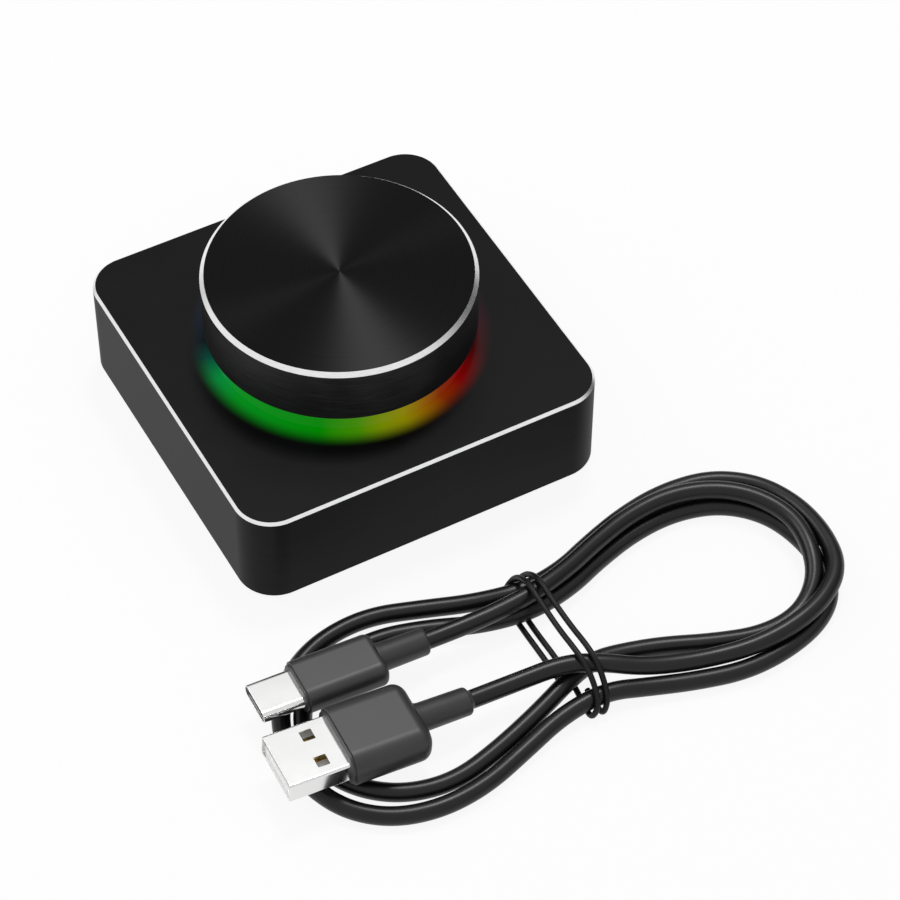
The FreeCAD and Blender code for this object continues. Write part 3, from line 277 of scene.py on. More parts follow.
light = {
    "strength": 1.0,
    # The settings from here to the deck height lay a painted glow on the casing's deck, a pool of
    # the ring's light painted as emission.
    "paintedGlowStrength": 1.0,
    "paintedGlowStart": 0.0250,
    "paintedGlowEnd": 0.0290,
    "paintedGlowAbove": 0.0205,  # keeps the painted glow off the walls inside
    "colour": (0.006, 0.006, 0.006),
    "other": (0.010, 0.010, 0.010),
    "roughness": 0.6,
    "uneven": 0.0,
    "specular": 0.2,
    "blotch": 0.003,
    "grain": 0.0003,
    "detail": 3.0,
    "depth": 0.00002,
    "bump": 0.4,
    "colours": [
        (0.000, (0.00, 0.23, 0.04)),
        (0.040, (0.00, 0.25, 0.01)),
        (0.150, (0.00, 0.22, 0.00)),
        (0.194, (0.05, 0.23, 0.00)),
        (0.222, (0.16, 0.23, 0.00)),
        (0.250, (0.23, 0.21, 0.00)),
        (0.278, (0.24, 0.10, 0.00)),
        (0.306, (0.20, 0.02, 0.00)),
        (0.340, (0.18, 0.00, 0.00)),
        (0.390, (0.045, 0.00, 0.00)),
        (0.480, (0.01, 0.00, 0.01)),
        (0.620, (0.08, 0.00, 0.14)),
        (0.740, (0.01, 0.01, 0.20)),
        (0.850, (0.00, 0.01, 0.04)),
        (0.940, (0.00, 0.005, 0.008)),
        (0.965, (0.00, 0.05, 0.035)),
        (1.000, (0.00, 0.23, 0.04)),
    ],
}


def wheelColour(tree, place):
    # The light's colours go round the ring once.
    wheel = addNode(tree, "TexGradient", gradient_type="RADIAL")
    tree.links.new(place, wheel.inputs["Vector"])
    ramp = addNode(tree, "ValToRGB")
    stops = light["colours"]
    points = ramp.color_ramp.elements
    points[0].position, points[1].position = stops[0][0], stops[-1][0]
    points[0].color, points[1].color = (*stops[0][1], 1), (*stops[-1][1], 1)
    for position, colour in stops[1:-1]:
        points.new(position).color = (*colour, 1)
    tree.links.new(wheel.outputs["Fac"], ramp.inputs["Fac"])
    return ramp.outputs["Color"]


def letGlow(made, colour, strength):
    shader = made.node_tree.nodes["Principled BSDF"]
    made.node_tree.links.new(colour, shader.inputs["Emission Color"])
    shader.inputs["Emission Strength"].default_value = strength


def makeLightMaterial():
    # Smoked resin, which shows the lamps' own colours.
    made = grained("lit_diffuser", light)
    tree = made.node_tree
    letGlow(made, wheelColour(tree, objectPlace(tree)), light["strength"])
    return made


def followTurning(tree, shader, amount):
    # Fine lines round the Z axis draw each gleam out across them, a quarter turn from the tangent.
    tangent = addNode(tree, "Tangent", direction_type="RADIAL", axis="Z")
    tree.links.new(tangent.outputs[0], shader.inputs["Tangent"])
    shader.inputs["Anisotropic"].default_value = amount
    shader.inputs["Anisotropic Rotation"].default_value = 0.25


def lined(name, look):
    # Metal with fine level lines round the Z axis, darker where it is seen edge on.
    made, tree, shader = startMaterial(name, look["roughness"], 1.0)
    shader.inputs["Specular Tint"].default_value = (*[look["edgeOn"]] * 3, 1)
    followTurning(tree, shader, look["gleam"])
    lines = noiseFrom(tree, objectPlace(tree, look["stretch"]), look["lines"], look["detail"])
    paint(tree, shader, lines, look)
    raiseBumps(tree, shader, lines, look)
    return made


milledSide = {
    "colour": (0.011, 0.011, 0.0115),
    "other": (0.015, 0.015, 0.0155),
    "roughness": 0.42,
    "uneven": 0.0,
    "edgeOn": 0.90,
    "gleam": 0.85,
    "stretch": (1, 1, 40),
    "lines": 0.012,
    "detail": 4.0,
    "depth": 0.000003,
    "bump": 0.3,
}

brushedSide = {
    "colour": (0.028, 0.028, 0.0285),
    "other": (0.062, 0.062, 0.0640),
    "roughness": 0.38,
    "uneven": 0.04,
    "edgeOn": 0.45,
    "gleam": 0.7,
    "stretch": (1, 1, 60),
    "lines": 0.006,
    "detail": 4.0,
    "depth": 0.000005,
    "bump": 0.4,
}

anodised = {
    "colour": (0.0016, 0.0016, 0.0017),
    "other": (0.0024, 0.0024, 0.0026),
    "roughness": 0.40,
    "uneven": 0.02,
    "specular": 0.085,
    "blotch": 0.008,
    "grain": 0.00012,
    "depth": 0.000004,
    "bump": 0.3,
}


def makeCasingMaterial():
    # Satin black, and on the deck a painted glow of the ring's light: a pool of emission that
    # reaches equally far all round the knob.
    made = grained("anodised_casing_painted_glow", anodised)
    tree = made.node_tree
    place = objectPlace(tree)
    radius = radiusOf(tree, place)
    # Painted light: the glow's emission fades with the distance from the axis, on the deck's top
    # only.
    paintedGlowFade = spanOf(tree, radius, 1.0, 0.0, light["paintedGlowStart"], light["paintedGlowEnd"], smooth=True)
    parts = addNode(tree, "SeparateXYZ")
    tree.links.new(place, parts.inputs[0])
    paintedGlowOnDeck = calculate(tree, "GREATER_THAN", parts.outputs["Z"], light["paintedGlowAbove"])
    share = calculate(tree, "MULTIPLY", paintedGlowFade, paintedGlowOnDeck)
    letGlow(made, blendColours(tree, share, (0, 0, 0), wheelColour(tree, place)), light["paintedGlowStrength"])
    return made


spunRings = {
    "colour": (0.0100, 0.0100, 0.0103),
    "other": (0.0118, 0.0118, 0.0122),
    "roughness": 0.36,
    "uneven": 0.005,
    "gleam": 0.94,
    "perMetre": 2600,
    "detail": 3,
    "depth": 0.000001,
    "bump": 0.15,
}


def makeSpunTop():
    # Rings of the turning tool, which make the gloss fan out from the middle.
    made, tree, shader = startMaterial("spun_top", spunRings["roughness"], 1.0)
    followTurning(tree, shader, spunRings["gleam"])
    count = calculate(tree, "MULTIPLY", radiusOf(tree, objectPlace(tree)), spunRings["perMetre"])
    noise = addNode(tree, "TexNoise", noise_dimensions="1D")
    noise.inputs["Scale"].default_value = 1
    noise.inputs["Detail"].default_value = spunRings["detail"]
    tree.links.new(count, noise.inputs["W"])
    rings = noise.outputs["Fac"]
    paint(tree, shader, rings, spunRings)
    raiseBumps(tree, shader, rings, spunRings)
    return made


board = {
    "mask": (0.010, 0.040, 0.026),
    "otherMask": (0.014, 0.052, 0.034),
    "copper": (0.030, 0.085, 0.045),
    "roughness": 0.32,
    "tracksPerMetre": 260,
    "trackWidth": 0.03,
    "blotch": 0.005,
    "depth": 0.00003,
    "bump": 0.5,
}


def makeBoardMaterial():
    # Dark solder mask over faint copper tracks.
    made, tree, shader = startMaterial("board_finish", board["roughness"])
    place = objectPlace(tree)
    tracks = addNode(tree, "TexBrick")
    tracks.inputs["Scale"].default_value = board["tracksPerMetre"]
    tracks.inputs["Mortar Size"].default_value = board["trackWidth"]
    for name, grey in (("Color1", 0.0), ("Color2", 0.0), ("Mortar", 1.0)):
        tracks.inputs[name].default_value = (grey, grey, grey, 1)
    tree.links.new(place, tracks.inputs["Vector"])
    cloud = spanOf(tree, noiseFrom(tree, place, board["blotch"]), 0.0, 1.0)
    mask = blendColours(tree, cloud, board["mask"], board["otherMask"])
    colour = blendColours(tree, tracks.outputs["Color"], mask, board["copper"])
    tree.links.new(colour, shader.inputs["Base Color"])
    raiseBumps(tree, shader, tracks.outputs["Color"], board)
    return made


capacitor = {
    "body": (0.42, 0.31, 0.20),
    "darker": 0.82,
    "ends": (0.66, 0.66, 0.64),
    "bodyFrom": 0.01375,
    "bodyTo": 0.01465,
    "roughness": 0.4,
    "blotch": 0.0006,
    "grain": 0.0002,
    "depth": 0.00001,
    "bump": 0.4,
}


def makeCapacitorMaterial():
    # Ceramic with a tinned end on each side of it along Y.
    made, tree, shader = startMaterial("capacitor_finish", capacitor["roughness"])
    place = objectPlace(tree)
    parts = addNode(tree, "SeparateXYZ")
    tree.links.new(place, parts.inputs[0])
    start, end = capacitor["bodyFrom"], capacitor["bodyTo"]
    away = calculate(tree, "SUBTRACT", parts.outputs["Y"], (start + end) / 2)
    tinned = calculate(tree, "GREATER_THAN", calculate(tree, "ABSOLUTE", away), (end - start) / 2)
    cloud = spanOf(tree, noiseFrom(tree, place, capacitor["blotch"]), 0.0, 1.0)
    body = capacitor["body"]
    ceramic = blendColours(tree, cloud, body, tuple(capacitor["darker"] * part for part in body))
    colour = blendColours(tree, tinned, ceramic, capacitor["ends"])
    tree.links.new(colour, shader.inputs["Base Color"])
    tree.links.new(tinned, shader.inputs["Metallic"])
    raiseBumps(tree, shader, noiseFrom(tree, place, capacitor["grain"]), capacitor)
    return made


finishes = {
    "foot_rubber": {
        "colour": (0.016, 0.016, 0.016), "other": (0.026, 0.026, 0.026), "roughness": 0.82,
        "specular": 0.3, "grain": 0.0004, "depth": 0.00003,
    },
    "plain_steel": {
        "colour": (0.52, 0.52, 0.53), "other": (0.62, 0.62, 0.63), "roughness": 0.32,
        "metallic": 1.0, "blotch": 0.002,
    },
    "spring_steel": {
        "colour": (0.62, 0.61, 0.58), "other": (0.70, 0.69, 0.66), "roughness": 0.22,
        "metallic": 1.0, "stretch": (1, 8, 1),
    },
    "ballast_iron": {
        "colour": (0.050, 0.050, 0.054), "other": (0.10, 0.10, 0.11), "roughness": 0.62,
        "metallic": 0.6, "grain": 0.0006, "depth": 0.00006,
    },
    "plate_aluminium": {
        "colour": (0.52, 0.53, 0.54), "other": (0.60, 0.61, 0.62), "roughness": 0.40,
        "metallic": 1.0, "stretch": (1, 20, 1), "blotch": 0.006, "grain": 0.002,
    },
    "chip_resin": {
        "colour": (0.020, 0.020, 0.020), "other": (0.032, 0.032, 0.032), "roughness": 0.6,
        "blotch": 0.001,
    },
    "encoder_resin": {
        "colour": (0.028, 0.028, 0.030), "other": (0.042, 0.042, 0.045), "roughness": 0.5,
    },
    "nickel": {
        "colour": (0.62, 0.61, 0.58), "other": (0.70, 0.69, 0.66), "roughness": 0.28,
        "metallic": 1.0, "blotch": 0.003,
    },
    "plain_brass": {
        "colour": (0.62, 0.46, 0.20), "other": (0.72, 0.56, 0.28), "roughness": 0.30,
        "metallic": 1.0, "stretch": (1, 1, 12),
    },
    "usb_metal": {
        "colour": (0.77, 0.77, 0.765), "other": (0.79, 0.79, 0.785), "roughness": 0.15,
        "metallic": 1.0, "uneven": 0.004, "grain": 0.0003, "depth": 0.000001,
    },
    "usb_white": {
        "colour": (0.84, 0.84, 0.83), "other": (0.78, 0.78, 0.77), "roughness": 0.35,
        "blotch": 0.002,
    },
    "usb_black": {
        "colour": (0.010, 0.010, 0.010), "other": (0.018, 0.018, 0.018), "roughness": 0.45,
    },
    "contact_gold": {
        "colour": (0.78, 0.56, 0.20), "other": (0.86, 0.66, 0.28), "roughness": 0.20,
        "metallic": 1.0, "blotch": 0.001,
    },
    "plug_plastic": {
        "colour": (0.019, 0.019, 0.0192), "other": (0.023, 0.023, 0.0232), "roughness": 0.45,
        "uneven": 0.02, "grain": 0.00018, "depth": 0.000005,
    },
    "tie_jacket": {
        "colour": (0.004, 0.004, 0.004), "other": (0.007, 0.007, 0.007), "roughness": 0.42,
        "specular": 0.2, "grain": 0.0003,
    },
    "cable_jacket": {
        "colour": (0.0020, 0.0020, 0.0021), "other": (0.0036, 0.0036, 0.0038), "roughness": 0.35,
        "uneven": 0.02, "specular": 0.33, "blotch": 0.006, "grain": 0.0005, "detail": 3.0,
        "depth": 0.000005, "bump": 0.1,
    },
}

lampFinish = {
    "colour": (0.82, 0.82, 0.74), "other": (0.86, 0.80, 0.56), "roughness": 0.3, "blotch": 0.0012,
}

# Bare metal where an edge was cut after the black was put on.
brightCut = {
    "roughness": 0.24, "uneven": 0.05, "metallic": 1.0, "stretch": (1, 1, 12), "blotch": 0.0012,
    "detail": 3.0, "depth": 0.000004, "bump": 0.3,
}
casingCut = {**brightCut, "colour": (0.97, 0.97, 0.98), "other": (0.8342, 0.8342, 0.8428)}
knobCut = {**brightCut, "colour": (0.94, 0.94, 0.95), "other": (0.8084, 0.8084, 0.8170)}

materials = {slot: grained(slot + "_finish", finish) for slot, finish in finishes.items()}
materials["circuit_board"] = makeBoardMaterial()
materials["capacitor_ceramic"] = makeCapacitorMaterial()
materials["lamp_resin"] = grained("lamp_finish", lampFinish)
materials["light_diffuser"] = makeLightMaterial()
materials["casing_metal"] = makeCasingMaterial()
materials["knob_metal"] = lined("brushed_side", brushedSide)
casingSide = lined("anodised_side", milledSide)
spunTop = makeSpunTop()
casingEdge = grained("casing_bright_edge", casingCut)
knobEdge = grained("knob_bright_edge", knobCut)

for part in frame["record"]["subparts"]:
    for holder in frame["nodes"][part["node"]].material_slots:
        holder.material = materials[part["material_slot"]]
print("materials made:", len(bpy.data.materials))


touching = 1e-7  # metres apart at most, where two spots count as one


def addObject(name, mesh, finish=()):
    data = bpy.data.meshes.new(name)
    mesh.to_mesh(data)
    mesh.free()
    for material in finish:
        data.materials.append(material)
    holder = bpy.data.objects.new(name, data)
    bpy.context.collection.objects.link(holder)
    return holder


def smoothCurves(data, crease=30):
    # Edges that bend by more degrees than the crease stay crisp.
    data.shade_smooth()
    data.set_sharp_from_angle(angle=math.radians(crease))


def addPiece(name, mesh, finish, body, nodes, crease=30):
    piece = addObject(name, mesh, finish)
    smoothCurves(piece.data, crease)
    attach(piece, body)
    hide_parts(*nodes)
    return piece


def keepFlatsFlat(piece):
    # Large flat faces keep their own direction beside small rounded ones.
    weigh = piece.modifiers.new("weighted", "WEIGHTED_NORMAL")
    weigh.keep_sharp = True
    weigh.weight = 100


def carve(piece, tools, operation="DIFFERENCE"):
    # Cuts the tools out of the piece for good, or joins them to it.
    cutters = [addObject("cutter", tool) for tool in tools]
    for cutter in cutters:
        step = piece.modifiers.new("carve", "BOOLEAN")
        step.operation, step.solver, step.object = operation, "EXACT", cutter
    bpy.context.view_layer.update()
    ready = piece.evaluated_get(bpy.context.evaluated_depsgraph_get())
    carved = bpy.data.meshes.new_from_object(ready)
    piece.modifiers.clear()
    piece.data = carved
    smoothCurves(carved)
    for cutter in cutters:
        bpy.data.objects.remove(cutter)


def startBlock(low, high):
    mesh = bmesh.new()
    bmesh.ops.create_cube(mesh, size=1)
    bmesh.ops.scale(mesh, vec=[b - a for a, b in zip(low, high)], verts=mesh.verts)
    bmesh.ops.translate(mesh, vec=[(a + b) / 2 for a, b in zip(low, high)], verts=mesh.verts)
    return mesh


def startRod(radius, low, high, middle=(0, 0), segments=32):
    # An upright cylinder.
    mesh = bmesh.new()
    bmesh.ops.create_cone(
        mesh, cap_ends=True, segments=segments, radius1=radius, radius2=radius, depth=high - low,
        matrix=Matrix.Translation((*middle, (low + high) / 2)),
    )
    return mesh


def startTurned(outline, axis, steps):
    # An outline in X and Z, turned once round an axis.
    mesh = bmesh.new()
    corners = [mesh.verts.new((x, 0, z)) for x, z in outline]
    edges = [mesh.edges.new(pair) for pair in zip(corners, corners[1:])]
    bmesh.ops.spin(
        mesh, geom=corners + edges, cent=(0, 0, 0), axis=axis, angle=2 * math.pi, steps=steps,
        use_merge=True,
    )
    bmesh.ops.remove_doubles(mesh, verts=mesh.verts, dist=touching)
    bmesh.ops.recalc_face_normals(mesh, faces=mesh.faces)
    return mesh


def roundEdges(mesh, edges, rounding, material=-1):
    # A rounding is a radius and its number of segments.
    offset, segments = rounding
    bmesh.ops.bevel(
        mesh, geom=list(edges), offset=offset, segments=segments, profile=0.5, affect="EDGES",
        material=material, clamp_overlap=True,
    )


def edgesAlong(mesh, axis):
    # Edges that run only in that direction.
    shortest, slack = 1e-6, 1e-9

    def runs(edge):
        way = edge.verts[0].co - edge.verts[1].co
        return abs(way[axis]) > shortest and way.length - abs(way[axis]) < slack

    return [edge for edge in mesh.edges if runs(edge)]


def faceAt(mesh, axis, side):
    # The outermost face on one side, and the largest where several are level.
    def rank(face):
        return round(side * face.calc_center_median()[axis], 6), face.calc_area()

    return max(mesh.faces, key=rank)


def moveMiddle(mesh, axis, side, rim, way):
    # Moves the outermost face on one side, apart from a rim round it.
    outer = faceAt(mesh, axis, side)
    bmesh.ops.inset_region(mesh, faces=[outer], thickness=rim, use_even_offset=True)
    middle = faceAt(mesh, axis, side)
    moved = bmesh.ops.extrude_discrete_faces(mesh, faces=[middle])["faces"][0]
    bmesh.ops.translate(mesh, vec=way, verts=moved.verts)


casing = {
    "half": 0.03675,
    "bottom": 0.0007,
    "top": 0.0211,
    "corner": (0.0074, 20),
    "edge": (0.0005, 1),
    "wall": 0.0022,
    "deckUnder": 0.0181,
    "sideTilt": 0.1,  # faces whose normal has less Z than this are sides
    "hole": 0.0230,
    "holeReach": 0.01,
    "holeSegments": 128,
    "portHalfWidth": 0.00477,
    "portHalfHeight": 0.00188,
    "portMiddle": 0.01168,
    "portReach": 0.004,
    "portRound": (0.00183, 10),
    "postInset": 0.0285,
    "postRadius": 0.0036,
    "postFoot": 0.0037,
    "tapRadius": 0.00105,
    "tapTop": 0.0117,
    "tapSegments": 16,
    "bracketScrews": (0.0265, 0.0150),
    "bracketTapTop": 0.0203,
    "overlap": 0.0005,
}


def addPosts(piece):
    # Four posts inside take the base screws, and the deck's underside takes the bracket's.
    foot, under, overlap = casing["postFoot"], casing["deckUnder"], casing["overlap"]
    radius, segments = casing["tapRadius"], casing["tapSegments"]
    inset = casing["postInset"]
    screwX, screwY = casing["bracketScrews"]
    posts, taps = [], []
    for x, y in ((-1, -1), (1, -1), (1, 1), (-1, 1)):
        post, screw = (x * inset, y * inset), (x * screwX, y * screwY)
        posts.append(startRod(casing["postRadius"], foot, under + overlap, post))
        taps.append(startRod(radius, foot - overlap, casing["tapTop"], post, segments))
        taps.append(startRod(radius, under - overlap, casing["bracketTapTop"], screw, segments))
    carve(piece, posts, "UNION")
    return taps


def makeCasing():
    half, bottom, top = casing["half"], casing["bottom"], casing["top"]
    mesh = startBlock((-half, -half, bottom), (half, half, top))
    roundEdges(mesh, edgesAlong(mesh, 2), casing["corner"])
    roundEdges(mesh, faceAt(mesh, 2, 1).edges, casing["edge"], material=1)
    moveMiddle(mesh, 2, -1, casing["wall"], (0, 0, casing["deckUnder"] - bottom))
    mesh.normal_update()
    for face in mesh.faces:
        if abs(face.normal.z) < casing["sideTilt"]:
            face.material_index = 2
    finish = [materials["casing_metal"], casingEdge, casingSide]
    piece = addPiece("casing", mesh, finish, "base", ["casing_shell"])
    taps = addPosts(piece)
    low, high = top - casing["holeReach"], top + casing["holeReach"]
    hole = startRod(casing["hole"], low, high, segments=casing["holeSegments"])
    width, height, middle = casing["portHalfWidth"], casing["portHalfHeight"], casing["portMiddle"]
    front, back = half - casing["portReach"], half + casing["portReach"]
    port = startBlock((-width, front, middle - height), (width, back, middle + height))
    roundEdges(port, edgesAlong(port, 1), casing["portRound"])
    carve(piece, [hole, port, *taps])
    keepFlatsFlat(piece)


makeCasing()
print("casing made")


knob = {
    "radius": 0.0257,
    "bottom": 0.02485,
    "top": 0.03695,
    "edge": 0.00077,
    "footEdge": 0.0003,
    "wall": 0.0024,
    "roof": 0.0026,
    "centre": 0.0005,  # the top's faces narrow to this radius before they meet
    "steps": 180,
    "slack": 1e-5,
}


def makeKnob():
    radius, bottom, top, edge = (knob[key] for key in ("radius", "bottom", "top", "edge"))
    inner, ceiling = radius - knob["wall"], top - knob["roof"]
    foot, slack = knob["footEdge"], knob["slack"]
    outline = [
        (0, ceiling), (inner, ceiling), (inner, bottom), (radius - foot, bottom),
        (radius, bottom + foot), (radius, top - edge), (radius - edge, top),
        (knob["centre"], top), (0, top),
    ]
    mesh = startTurned(outline, (0, 0, 1), knob["steps"])
    for face in mesh.faces:
        height = face.calc_center_median().z
        if height > top - slack:
            face.material_index = 1
        elif height > top - edge + slack:
            face.material_index = 2
    finish = [materials["knob_metal"], spunTop, knobEdge]
    addPiece("knob_cover", mesh, finish, "knob", ["knob_cap"])


makeKnob()
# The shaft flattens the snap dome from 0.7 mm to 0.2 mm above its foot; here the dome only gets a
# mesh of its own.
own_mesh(frame["nodes"]["switch_dome"])
print("knob made")


# Each plug is built with its axis along X, from its open end at x = 0, and then laid in place.

bothPlugs = {
    "wall": 0.0003,
    "backWall": 0.0004,
    "shellInGrip": 0.0012,
    "mouthRound": (0.00008, 2),
    "rimRound": (0.0002, 3),
    "collar": 0.0005,
    "collarInset": 0.00025,
    "collarRound": (0.00015, 2),
    "gripCrease": 40,
    "reliefRadius": 0.0026,
    "reliefInGrip": 0.0006,
    # Each pair is a distance from that end of the sleeve, and the radius added or taken off there.
    "reliefFoot": ((0, 0.0003), (0.0008, 0.0002), (0.0012, 0.0001)),
    "reliefTip": ((0.0006, 0), (0.0003, 0.00008), (0.0001, 0.00025), (0, 0.0005)),
    "reliefSteps": 48,
    "reliefCrease": 50,
    "boreGap": 0.00005,
    "boreDepth": 0.0008,
}

plugA = {
    **bothPlugs,
    "place": (-0.0522, -0.0754, 0.00825),
    "yaw": -2.3,
    "dip": 3.5,
    "shell": (0.0060, 0.00225),
    "shellLength": 0.0115,
    "shellCorner": (0.0005, 8),
    "windowX": 0.00725,
    "windowY": 0.0030,
    "windowHalf": 0.00115,
    "windowDepth": 0.0006,
    "windowReach": 0.001,
    "windowRound": (0.0001, 3),
    "grip": (0.00775, 0.0039),
    "gripEnd": 0.0272,
    "gripRound": (0.0034, 12),
    "rearRound": (0.0024, 8),
    "reliefEnd": 0.0372,
}

plugC = {
    **bothPlugs,
    "place": (-0.0488, -0.0603, 0.0069),
    "yaw": -2.0,
    "dip": 2.0,
    "shell": (0.00417, 0.00128),
    "shellLength": 0.0080,
    "shellCorner": (0.00123, 8),
    "grip": (0.0053, 0.0028),
    "gripEnd": 0.0243,
    "gripRound": (0.0025, 12),
    "rearRound": (0.0014, 8),
    "reliefEnd": 0.0335,
}


def layPlug(mesh, plug):
    yaw, dip = math.radians(plug["yaw"]), math.radians(plug["dip"])
    turn = Matrix.Rotation(yaw, 4, "Z") @ Matrix.Rotation(dip, 4, "Y")
    bmesh.ops.transform(mesh, matrix=Matrix.Translation(plug["place"]) @ turn, verts=mesh.verts)


def makePlugShell(name, plug, node):
    # A thin tube with a rolled mouth and a wall at the back of it.
    halfY, halfZ = plug["shell"]
    end = plug["shellLength"] + plug["shellInGrip"]
    mesh = startBlock((0, -halfY, -halfZ), (end, halfY, halfZ))
    roundEdges(mesh, edgesAlong(mesh, 0), plug["shellCorner"])
    moveMiddle(mesh, 0, -1, plug["wall"], (end - plug["backWall"], 0, 0))
    rim = [edge for edge in mesh.edges if all(abs(vert.co.x) < touching for vert in edge.verts)]
    roundEdges(mesh, rim, plug["mouthRound"])
    layPlug(mesh, plug)
    return addPiece(name, mesh, [materials["usb_metal"]], "cable", [node])


def cutWindows(piece, plug):
    # Two windows in the shell's top.
    boxes = []
    half, middle = plug["windowHalf"], plug["windowX"]
    bottom, top = plug["shell"][1] - plug["windowDepth"], plug["shell"][1] + plug["windowReach"]
    for side in (-1, 1):
        away = side * plug["windowY"]
        low, high = (middle - half, away - half, bottom), (middle + half, away + half, top)
        box = startBlock(low, high)
        roundEdges(box, edgesAlong(box, 2), plug["windowRound"])
        layPlug(box, plug)
        boxes.append(box)
    carve(piece, boxes)


def makeGrip(name, plug, node):
    # The moulded grip, with a thin collar in front of its rim.
    halfY, halfZ = plug["grip"]
    front = plug["shellLength"] + plug["collar"]
    mesh = startBlock((front, -halfY, -halfZ), (plug["gripEnd"], halfY, halfZ))
    roundEdges(mesh, edgesAlong(mesh, 0), plug["gripRound"])
    roundEdges(mesh, faceAt(mesh, 0, 1).edges, plug["rearRound"])
    roundEdges(mesh, faceAt(mesh, 0, -1).edges, plug["rimRound"])
    moveMiddle(mesh, 0, -1, plug["collarInset"], (-plug["collar"], 0, 0))
    roundEdges(mesh, faceAt(mesh, 0, -1).edges, plug["collarRound"])
    layPlug(mesh, plug)
    finish = [materials["plug_plastic"]]
    piece = addPiece(name, mesh, finish, "cable", [node], plug["gripCrease"])
    keepFlatsFlat(piece)


def makeRelief(name, plug, node):
    # A plain sleeve with a small foot against the grip and a soft end, from which the cable comes.
    start, end = plug["gripEnd"] - plug["reliefInGrip"], plug["reliefEnd"]
    radius, bore = plug["reliefRadius"], cable["diameter"] / 2 + plug["boreGap"]
    outline = [(start, 0)]
    outline += [(start + along, radius + more) for along, more in plug["reliefFoot"]]
    outline += [(end - along, radius - less) for along, less in plug["reliefTip"]]
    outline += [(end, bore), (end - plug["boreDepth"], bore), (end - plug["boreDepth"], 0)]
    mesh = startTurned(outline, (1, 0, 0), plug["reliefSteps"])
    layPlug(mesh, plug)
    finish = [materials["plug_plastic"]]
    addPiece(name, mesh, finish, "cable", [node], plug["reliefCrease"])


shellA = makePlugShell("plug_a_metal", plugA, "usb_a_shell")
cutWindows(shellA, plugA)
keepFlatsFlat(shellA)
makeGrip("plug_a_grip", plugA, "usb_a_overmold")
makeRelief("plug_a_sleeve", plugA, "usb_a_strain_relief")
shellC = makePlugShell("plug_c_metal", plugC, "usb_c_shell")
keepFlatsFlat(shellC)
makeGrip("plug_c_grip", plugC, "usb_c_overmold")
makeRelief("plug_c_sleeve", plugC, "usb_c_strain_relief")
print("plugs made")


tie = {
    "diameter": 0.0011,
    "steps": 10,
    "roundness": 4,
}

# One wire, two turns round both sides of the hank, with its ends tucked under the near side.
tieRoute = [
    (0.0033, -0.0800, 0.00060), (0.0034, -0.0724, 0.00060), (0.0032, -0.0637, 0.00060),
    (0.0034, -0.0575, 0.00060), (0.0040, -0.0556, 0.00065), (0.0052, -0.0553, 0.0028),
    (0.0062, -0.0560, 0.0050), (0.0062, -0.0585, 0.0074), (0.0061, -0.0612, 0.0088),
    (0.0060, -0.0650, 0.0085), (0.0059, -0.0725, 0.0083), (0.0059, -0.0775, 0.0089),
    (0.0062, -0.0815, 0.0082), (0.0061, -0.0851, 0.0058), (0.0054, -0.0876, 0.0037),
    (0.0043, -0.0874, 0.00062), (0.0043, -0.0850, 0.00060), (0.0051, -0.0800, 0.00060),
    (0.0053, -0.0729, 0.00060), (0.0050, -0.0644, 0.00060), (0.0054, -0.0575, 0.00060),
    (0.0061, -0.0556, 0.00065), (0.0073, -0.0553, 0.0028), (0.0082, -0.0562, 0.0050),
    (0.0083, -0.0587, 0.0074), (0.0082, -0.0614, 0.0088), (0.0081, -0.0655, 0.0085),
    (0.0081, -0.0728, 0.0084), (0.0082, -0.0780, 0.0089), (0.0083, -0.0817, 0.0081),
    (0.0081, -0.0850, 0.0056), (0.0074, -0.0874, 0.0036), (0.0064, -0.0876, 0.00062),
    (0.0064, -0.0850, 0.00060), (0.0067, -0.0815, 0.00060),
]

tieWire = makeWire("tie_wire", tieRoute, tie)
tieWire.data.materials.append(materials["tie_jacket"])
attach(tieWire, "cable")
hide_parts("cable_tie")

cableCord.data.materials.append(materials["cable_jacket"])
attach(cableCord, "cable")
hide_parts("lead_a", "lead_c", "cable_hank")
print("tie and cable laid")


studio = {
    "floorSize": 60.0,
    "floorColour": (0.66, 0.66, 0.66),
    "floorRoughness": 0.9,
    "floorWhite": 0.90,
    "skyAxis": (-0.45, -0.20, 0.87),
    "skySpan": (-0.25, 0.42),
    "skyDark": 0.10,
    "skyBright": 0.88,
    "lampAim": (0.0, -0.03, 0.01),
}

lamps = {
    "overheadLamp": {"place": (0.40, 0.45, 1.55), "size": (0.32, 0.32), "watts": 12.0},
    "backLamp": {"place": (-0.40, 0.50, 0.62), "size": (0.30, 0.30), "watts": 1.6},
}


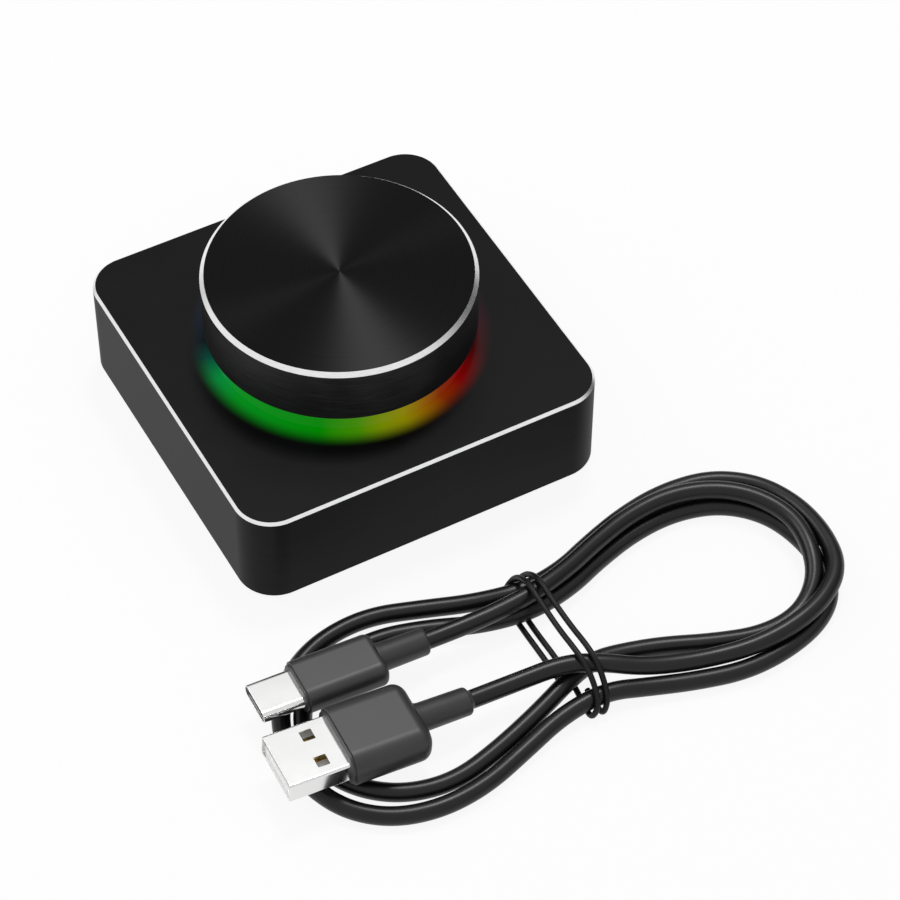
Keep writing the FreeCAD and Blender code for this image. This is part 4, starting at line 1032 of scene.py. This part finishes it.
def makeFloor():
    # White where it is seen or mirrored, and grey where it lights the object.
    made, tree, shader = startMaterial("floor_finish", studio["floorRoughness"], 0.0, 0.0)
    shader.inputs["Base Color"].default_value = (*studio["floorColour"], 1)
    paths = addNode(tree, "LightPath").outputs
    seen = calculate(tree, "MAXIMUM", paths["Is Camera Ray"], paths["Is Glossy Ray"])
    seen = calculate(tree, "MAXIMUM", seen, paths["Is Transmission Ray"])
    share = calculate(tree, "MULTIPLY", seen, studio["floorWhite"])
    white = addNode(tree, "Emission")
    white.inputs["Strength"].default_value = 1.0
    blend = addNode(tree, "MixShader")
    tree.links.new(share, blend.inputs[0])
    tree.links.new(shader.outputs[0], blend.inputs[1])
    tree.links.new(white.outputs[0], blend.inputs[2])
    tree.links.new(blend.outputs[0], tree.nodes["Material Output"].inputs["Surface"])
    mesh = bmesh.new()
    bmesh.ops.create_grid(mesh, x_segments=1, y_segments=1, size=studio["floorSize"] / 2)
    floor = addObject("floor", mesh, [made])


def makeWorld():
    # A large soft light overhead and to the left, dimmer low down on the right.
    world = bpy.context.scene.world or bpy.data.worlds.new("world")
    bpy.context.scene.world = world
    world.use_nodes = True
    tree = world.node_tree
    sky = tree.nodes["Background"]
    way = addNode(tree, "VectorMath", operation="DOT_PRODUCT")
    way.inputs[1].default_value = studio["skyAxis"]
    tree.links.new(addNode(tree, "TexCoord").outputs["Generated"], way.inputs[0])
    dark, bright = studio["skyDark"], studio["skyBright"]
    level = spanOf(tree, way.outputs["Value"], dark, bright, *studio["skySpan"], smooth=True)
    tree.links.new(level, sky.inputs["Color"])
    sky.inputs["Strength"].default_value = 1.0


def makeLamps():
    for name, lamp in lamps.items():
        data = bpy.data.lights.new(name, "AREA")
        data.shape = "RECTANGLE"
        data.size, data.size_y = lamp["size"]
        data.energy = lamp["watts"]
        holder = bpy.data.objects.new(name, data)
        holder.location = lamp["place"]
        aim = Vector(studio["lampAim"]) - holder.location
        holder.rotation_euler = aim.to_track_quat("-Z", "Y").to_euler()
        bpy.context.collection.objects.link(holder)


makeFloor()
makeWorld()
makeLamps()
bpy.context.scene.view_settings.view_transform = "Standard"
print("studio made")
